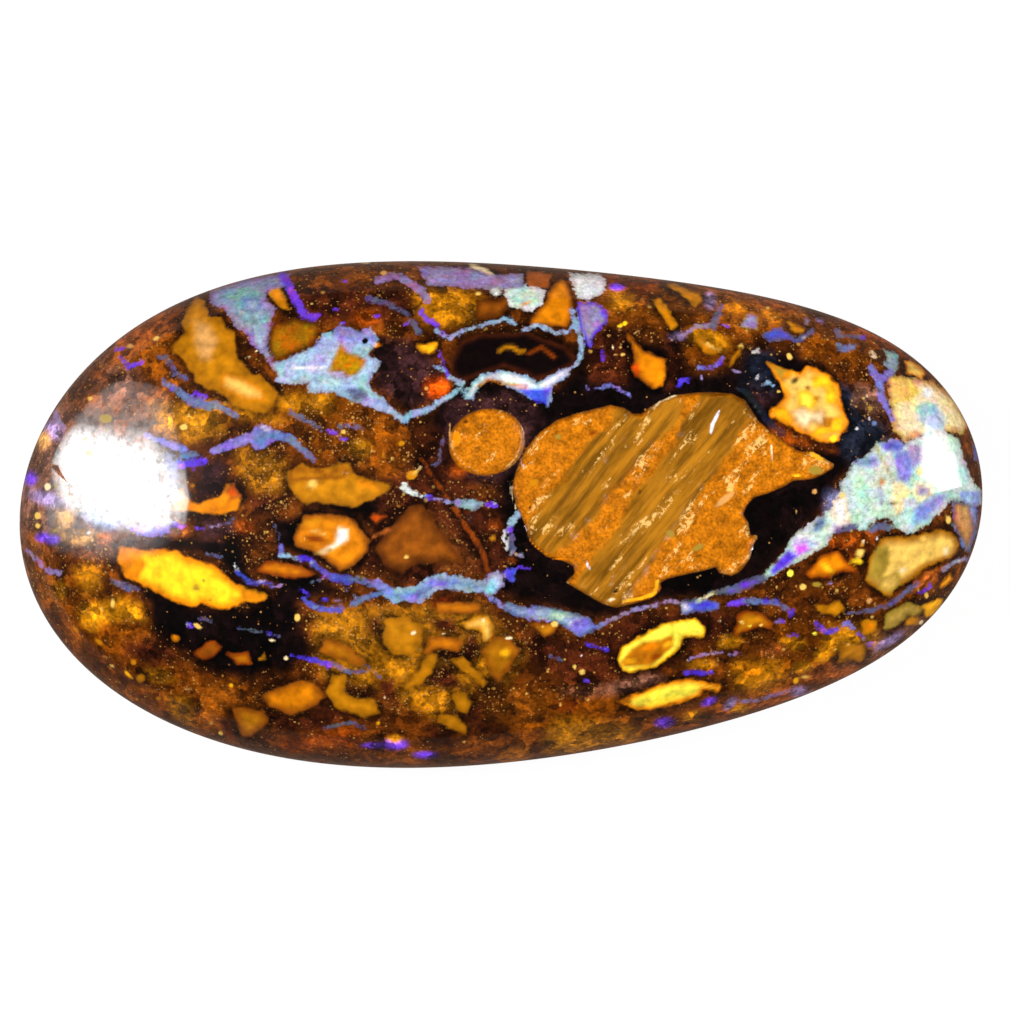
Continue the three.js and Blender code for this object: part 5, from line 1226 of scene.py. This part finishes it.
# What a user would change in the stone's finish. Scales are patches or grains per millimetre
finish = {
    "polishRoughness": 0.3,
    "clayRoughness": 0.62,
    "coatRoughness": 0.04,
    "clayGloss": 0.05,
    "grainGloss": 0.5,
    "underShine": 0.02,
    "pits": {"Scale": 4.0, "Detail": 3.0, "Low": 0.45, "High": 1.3},  # the gloss, full from 1 up
    "groundMottle": {"Scale": 1.6, "Detail": 5.0, "Low": 0.4, "High": 1.5},
    "groundGrain": {"Scale": 7.0, "Detail": 2.0, "Low": 0.6, "High": 1.4},
    "patchworks": [
        {"Scale": 1.1, "Warp": 0.9, "Low": 0.45, "High": 1.55},
        {"Scale": 2.9, "Warp": 0.5, "Low": 0.5, "High": 1.5},
    ],
    "sand": [  # scale, size, share of the cells, darkest and brightest colour
        (3.4, 0.42, 0.25, "bronze", "straw"),
        (6.0, 0.5, 0.5, "bronze", "straw"),
        (11.0, 0.8, 1.0, "brown", "tan"),
    ],
    "sandClusters": {"Scale": 0.9, "Detail": 2.0, "Low": -0.3, "High": 1.6},
    "sandCover": 0.55,
    "sandOnBlack": 0.15,  # share of the sand that is left on the blackest ironstone
    "blackToBrown": (0.003, 0.05),  # the ironstone's red, from the blackest to where all sand shows
    "haloReach": (-0.45, -0.05),  # millimetres outside a patch
    "haloShade": 0.35,
    "patchEdge": {"Softness": 0.08, "Raggedness": 0.3, "Rag Scale": 2.5},
    "patchMottle": {"Scale": 2.2, "Detail": 4.0, "Low": 0.62, "High": 1.28},
    "opalEdge": {"Softness": 0.05, "Raggedness": 0.3, "Rag Scale": 5.0},
    "seamCover": 0.65,  # how much the thin edge of a seam covers
    "seamDepth": 0.22,  # millimetres inside the edge where a seam covers fully
    "clayEdge": {"Raggedness": 0.05},
    "clayMottle": {"Scale": 2.4, "Detail": 5.0, "Low": 0.55, "High": 1.3},
    "clayGrain": {"Scale": 9.0, "Detail": 2.0, "Low": 0.6, "High": 1.4},
    "clayLumps": {"Scale": 6.0, "Detail": 5.0, "Roughness": 0.65},
    "clayLumpHeight": 0.03,  # millimetres
    "rimReach": (0.02, 0.14),  # millimetres inside the clay's edge where its dark rim fades
    "rimCover": 0.6,
    "channelEdge": {"Softness": 0.15, "Raggedness": 1.0, "Rag Scale": 1.0},
    "channelStreaks": (0.35, 3.0, 1.0),  # streaks per millimetre along, across and down
    "channelShades": (0.45, 1.5),
    # the broken pale lines on the clay are painted highlight along its crests, where they catch the light
    "crestHighlightStreaks": (0.5, 1.6, 1.0),
    "crestHighlightReach": (0.64, 0.78),
    "crestHighlightGaps": (0.44, 0.58),
    "crestHighlightCover": 0.75,
    "grainEdge": {"Raggedness": 0.1},
}


def addGroup(tree, group, **inputs):
    return feed(tree, addNode(tree, "ShaderNodeGroup", node_tree=group), inputs).outputs


def number(tree, name):
    return addNode(tree, "ShaderNodeAttribute", attribute_name=name).outputs["Fac"]


def colour(tree, name):
    return addNode(tree, "ShaderNodeAttribute", attribute_name=name).outputs["Color"]


def shade(tree, vector, base, mottle):
    factor = addGroup(tree, mottleGroup, Vector=vector, **mottle)["Factor"]
    return blendColours(tree, 1.0, base, factor, "MULTIPLY")


def markMask(tree, vector, kind):
    depth = number(tree, kind + "Depth")
    return addGroup(tree, edgeGroup, Vector=vector, Depth=depth, **finish[kind + "Edge"])["Mask"]


# Ironstone in irregular patches, with sand
def paintIronstone(tree, vector):
    base = shade(tree, vector, colour(tree, "groundColour"), finish["groundMottle"])
    for patchwork in finish["patchworks"]:
        factor = addGroup(tree, patchworkGroup, Vector=vector, **patchwork)["Factor"]
        base = blendColours(tree, 1.0, base, factor, "MULTIPLY")
    base = shade(tree, vector, base, finish["groundGrain"])
    clusters = addGroup(tree, mottleGroup, Vector=vector, **finish["sandClusters"])["Factor"]
    amount = calculate(tree, "MULTIPLY", number(tree, "sand"), clusters)
    parts = addNode(tree, "ShaderNodeSeparateColor")
    feed(tree, parts, {0: colour(tree, "groundColour")})
    left = spread(tree, parts.outputs["Red"], *finish["blackToBrown"], finish["sandOnBlack"], 1.0)
    amount = calculate(tree, "MULTIPLY", amount, left)
    for scale, size, share, low, high in finish["sand"]:
        shown = calculate(tree, "MULTIPLY", amount, share)
        grains = addGroup(tree, sandGroup, Vector=vector, Scale=scale, Share=shown, Size=size)
        sandColour = blendColours(tree, grains["Chance"], (*tint(low), 1), (*tint(high), 1))
        cover = calculate(tree, "MULTIPLY", grains["Mask"], finish["sandCover"])
        base = blendColours(tree, cover, base, sandColour)
    return base


# Patches with a dark band round them
def paintPatches(tree, vector, base):
    halo = spread(tree, number(tree, "patchDepth"), *finish["haloReach"], 1.0, finish["haloShade"])
    base = blendColours(tree, 1.0, base, halo, "MULTIPLY")
    patches = shade(tree, vector, colour(tree, "patchColour"), finish["patchMottle"])
    return blendColours(tree, markMask(tree, vector, "patch"), base, patches)


def paintOpal(tree, vector, base):
    cover = spread(tree, number(tree, "opalDepth"), 0.0, finish["seamDepth"], finish["seamCover"], 1.0)
    cover = calculate(tree, "MULTIPLY", markMask(tree, vector, "opal"), cover)
    opal = addGroup(tree, opalGroup, Vector=vector, Colour=colour(tree, "opalColour"))["Colour"]
    return blendColours(tree, cover, base, opal)


# Clay, granular between smoother, streaky channels, with broken pale lines of painted highlight along its
# crests, and a dark rim
def paintClay(tree, vector, lumps):
    along = {"Vector": vector, "Turn": -math.radians(clayPatches["grain"])}
    granular = shade(tree, vector, (*tint("clay"), 1), finish["clayMottle"])
    granular = shade(tree, vector, granular, finish["clayGrain"])
    streaks = addGroup(tree, streakGroup, **along, Stretch=finish["channelStreaks"])["Factor"]
    shades = spread(tree, streaks, 0, 1, *finish["channelShades"])
    streaky = blendColours(tree, 1.0, (*tint("channel"), 1), shades, "MULTIPLY")
    clay = blendColours(tree, markMask(tree, vector, "channel"), granular, streaky)
    # pale broken lines along the crests: painted highlight
    crestHighlights = addGroup(tree, streakGroup, **along, Stretch=finish["crestHighlightStreaks"])["Factor"]
    crestHighlights = spread(tree, crestHighlights, *finish["crestHighlightReach"], 0.0, 1.0)
    gaps = spread(tree, lumps, *finish["crestHighlightGaps"], 0.0, finish["crestHighlightCover"])
    clay = blendColours(tree, calculate(tree, "MULTIPLY", crestHighlights, gaps), clay, (*tint("crestHighlight"), 1))
    rim = spread(tree, number(tree, "clayDepth"), *finish["rimReach"], finish["rimCover"], 0.0)
    return blendColours(tree, rim, clay, (*tint("umber"), 1))


def buildStoneMaterial():
    material = bpy.data.materials.new("opal_ironstone_finish")
    material.use_nodes = True
    tree = material.node_tree
    shader = tree.nodes["Principled BSDF"]
    place = addNode(tree, "ShaderNodeTexCoord").outputs["Object"]
    scaled = addNode(tree, "ShaderNodeVectorMath", operation="SCALE")
    vector = feed(tree, scaled, {0: place, "Scale": 1 / mm}).outputs[0]  # in millimetres

    base = paintIronstone(tree, vector)
    base = paintPatches(tree, vector, base)
    base = paintOpal(tree, vector, base)
    lumpy = addNode(tree, "ShaderNodeTexNoise")
    lumps = feed(tree, lumpy, {"Vector": vector, **finish["clayLumps"]}).outputs[0]
    clayMask = markMask(tree, vector, "clay")
    base = blendColours(tree, clayMask, base, paintClay(tree, vector, lumps))
    grainAndEdgeHighlightMask = markMask(tree, vector, "grain")
    base = blendColours(tree, grainAndEdgeHighlightMask, base, colour(tree, "grainColour"))

    bump = addNode(tree, "ShaderNodeBump")
    height = calculate(tree, "MULTIPLY", lumps, clayMask)
    feed(tree, bump, {"Height": height, "Distance": finish["clayLumpHeight"] * mm, "Strength": 1.0})
    roughness = spread(tree, clayMask, 0.0, 1.0, finish["polishRoughness"], finish["clayRoughness"])
    pits = addGroup(tree, mottleGroup, Vector=vector, **finish["pits"])["Factor"]
    gloss = calculate(tree, "MINIMUM", pits, 1.0)
    gloss = calculate(tree, "MULTIPLY", gloss, spread(tree, clayMask, 0.0, 1.0, 1.0, finish["clayGloss"]))
    gloss = calculate(tree, "MULTIPLY", gloss, spread(tree, grainAndEdgeHighlightMask, 0.0, 1.0, 1.0, finish["grainGloss"]))
    feed(tree, shader, {
        "Base Color": base,
        "Roughness": roughness,
        "Coat Weight": gloss,
        "Coat Roughness": finish["coatRoughness"],
        "Specular IOR Level": finish["underShine"],
        "Normal": bump.outputs[0],
    })
    return material


stonePiece = bpy.data.objects.new("boulder_opal_stone", stoneMesh)
bpy.context.collection.objects.link(stonePiece)
stoneMesh.polygons.foreach_set("use_smooth", np.ones(len(stoneMesh.polygons), bool))
stoneMesh.update()
stoneMesh.set_sharp_from_angle(angle=math.radians(stone["creaseAngle"]))
stoneMesh.materials.append(buildStoneMaterial())
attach(stonePiece, "root")
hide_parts("boulder_opal")
print("stone finished")

# A pale floor, soft light from both sides, and a camera straight above
studio = {
    "floorSize": 900.0,
    "floorCells": 8,
    "floorColour": (0.03, 0.03, 0.03, 1),
    "floorRoughness": 0.9,
    "floorMirrored": (0.13, 0.055, 0.022, 1),  # what the stone's rim mirrors
    "floorGlow": 0.95,  # makes the floor white for the camera without lighting up the stone
    "wallMirrored": (0.05, 0.05, 0.05, 1),  # the wall is white too, but only for the camera
    "lamps": {  # middle, size across and up, watts; they make no mirror image, the panels below do
        "leftLamp": ((-260, 60, 240), (200, 200), 1.2),
        "rightLamp": ((270, 60, 240), (200, 200), 1.3),
        "topLamp": ((0, -80, 420), (300, 300), 0.85),
    },
    "panelDistance": 320.0,
    "panelLowest": 2.0,
    # Each panel is given by its mirror image on the stone: rows of x, y and share of the brightness
    "panels": {
        "leftWindow": (48.0, [
            [(-14.0, -1.6, 0), (-15.2, -1.9, 0), (-16.6, -1.9, 0), (-17.8, -1.5, 0), (-18.6, -0.8, 0)],
            [(-13.2, -0.9, 0), (-14.6, -0.8, 0.1), (-16.2, -0.5, 0.16), (-17.5, 0.2, 0.14), (-18.5, 0.9, 0)],
            [(-12.95, -0.3, 0.1), (-14.1, -0.25, 1), (-15.7, 0.2, 0.9), (-17.3, 1.2, 0.7), (-18.4, 1.9, 0)],
            [(-12.85, 0.6, 0.3), (-14.1, 0.8, 1), (-15.7, 1.3, 1), (-17.2, 1.9, 1), (-18.5, 2.4, 0.1)],
            [(-12.95, 1.8, 0.1), (-14.2, 2.0, 0.8), (-15.7, 2.4, 0.9), (-17.0, 2.7, 0.9), (-18.3, 3.0, 0.1)],
            [(-13.2, 3.0, 0.05), (-14.3, 3.3, 0.14), (-15.6, 3.5, 0.1), (-16.8, 3.5, 0.12), (-18.0, 3.5, 0)],
            [(-13.5, 4.8, 0), (-14.4, 5.1, 0.03), (-15.4, 5.2, 0.03), (-16.5, 4.9, 0.0), (-17.7, 4.1, 0)],
        ]),
        "rightWindow": (40.0, [
            [(17.0, 4.0, 0), (17.2, 4.1, 0), (17.5, 4.1, 0), (17.8, 3.9, 0)],
            [(16.8, 3.2, 0), (17.0, 3.3, 0.3), (17.4, 3.3, 0.25), (18.0, 3.1, 0)],
            [(16.7, 2.4, 0), (17.0, 2.4, 0.7), (17.5, 2.4, 0.6), (18.2, 2.4, 0)],
            [(16.7, 1.5, 0), (17.1, 1.5, 0.8), (18.0, 1.7, 0.8), (18.8, 1.9, 0)],
            [(17.2, 0.8, 0), (17.6, 0.95, 0.4), (18.4, 1.1, 0.5), (19.0, 1.2, 0)],
        ]),
    },
    "cameraHeight": 290.0,
    "cameraReach": (10.0, 10000.0),  # nearest and farthest that it sees
    "sensorWidth": 36.0,
    "middle": (0.16, 0.38),  # where the camera stands over the stone
    "viewWidth": 40.4,  # millimetres across the picture at the girdle
}


def makeFloor():
    shape = bmesh.new()
    cells = studio["floorCells"]
    bmesh.ops.create_grid(shape, x_segments=cells, y_segments=cells, size=studio["floorSize"] / 2 * mm)
    mesh = bpy.data.meshes.new("floor")
    shape.to_mesh(mesh)
    shape.free()
    floor = bpy.data.objects.new("floor", mesh)
    bpy.context.collection.objects.link(floor)
    material = bpy.data.materials.new("paleFloor")
    material.use_nodes = True
    tree = material.node_tree
    shader = tree.nodes["Principled BSDF"]
    seen = addNode(tree, "ShaderNodeLightPath").outputs["Is Camera Ray"]
    feed(tree, shader, {
        "Base Color": studio["floorColour"],
        "Roughness": studio["floorRoughness"],
        "Emission Color": blendColours(tree, seen, studio["floorMirrored"], (1, 1, 1, 1)),
        "Emission Strength": studio["floorGlow"],
    })
    mesh.materials.append(material)


# Where a ray from straight above goes after it meets the dome at this place
def mirrored(x, y):
    nearest = np.argmin(np.where(onDome, np.hypot(pointX - x, pointY - y), np.inf))
    normal = stoneMesh.vertices[int(nearest)].normal
    return normal * (2 * normal.z) - Vector((0, 0, 1))


def makePanel(name, strength, rows):
    shape = bmesh.new()
    corners = []
    for row in rows:
        corners.append([])
        for x, y, share in row:
            place = Vector((x, y, stone["girdle"])) + mirrored(x, y) * studio["panelDistance"]
            place.z = max(place.z, studio["panelLowest"])
            corners[-1].append(shape.verts.new(place * mm))
    for low, high in zip(corners[:-1], corners[1:]):
        for column in range(len(low) - 1):
            face = [low[column], low[column + 1], high[column + 1], high[column]]
            bmesh.ops.contextual_create(shape, geom=face)
    mesh = bpy.data.meshes.new(name)
    shape.to_mesh(mesh)
    shape.free()
    shares = mesh.attributes.new("share", "FLOAT", "POINT")
    shares.data.foreach_set("value", [point[2] for row in rows for point in row])
    material = bpy.data.materials.new(name)
    material.use_nodes = True
    tree = material.node_tree
    shader = tree.nodes["Principled BSDF"]
    share = addNode(tree, "ShaderNodeAttribute", attribute_name="share").outputs["Fac"]
    feed(tree, shader, {
        "Base Color": (0, 0, 0, 1),
        "Emission Color": blendColours(tree, share, (0, 0, 0, 1), (1, 1, 1, 1)),
        "Emission Strength": strength,
    })
    mesh.materials.append(material)
    panel = bpy.data.objects.new(name, mesh)
    panel.visible_camera = False
    panel.visible_diffuse = False
    panel.visible_shadow = False
    bpy.context.collection.objects.link(panel)


def makeLights():
    for name, (strength, rows) in studio["panels"].items():
        makePanel(name, strength, rows)
    for name, (place, size, watts) in studio["lamps"].items():
        light = bpy.data.lights.new(name, "AREA")
        light.shape = "RECTANGLE"
        light.size = size[0] * mm
        light.size_y = size[1] * mm
        light.energy = watts
        lamp = bpy.data.objects.new(name, light)
        lamp.location = Vector(place) * mm
        lamp.rotation_euler = (-Vector(place)).to_track_quat("-Z", "Y").to_euler()
        lamp.visible_glossy = False
        bpy.context.collection.objects.link(lamp)
    world = bpy.data.worlds.new("studio")
    world.use_nodes = True
    background = world.node_tree.nodes["Background"]
    seen = addNode(world.node_tree, "ShaderNodeLightPath").outputs["Is Camera Ray"]
    wall = blendColours(world.node_tree, seen, studio["wallMirrored"], (1, 1, 1, 1))
    feed(world.node_tree, background, {"Color": wall, "Strength": 1.0})
    bpy.context.scene.world = world


def makeCamera():
    lens = bpy.data.cameras.new("camera")
    lens.sensor_width = studio["sensorWidth"]
    drop = studio["cameraHeight"] - stone["girdle"]
    lens.lens = lens.sensor_width * drop / studio["viewWidth"]
    lens.clip_start = studio["cameraReach"][0] * mm
    lens.clip_end = studio["cameraReach"][1] * mm
    camera = bpy.data.objects.new("camera", lens)
    camera.location = Vector((*studio["middle"], studio["cameraHeight"])) * mm
    camera.rotation_euler = Euler((0, 0, 0))
    bpy.context.collection.objects.link(camera)
    bpy.context.scene.camera = camera


makeFloor()
makeLights()
makeCamera()
bpy.context.scene.view_settings.view_transform = "Standard"
print("studio set")
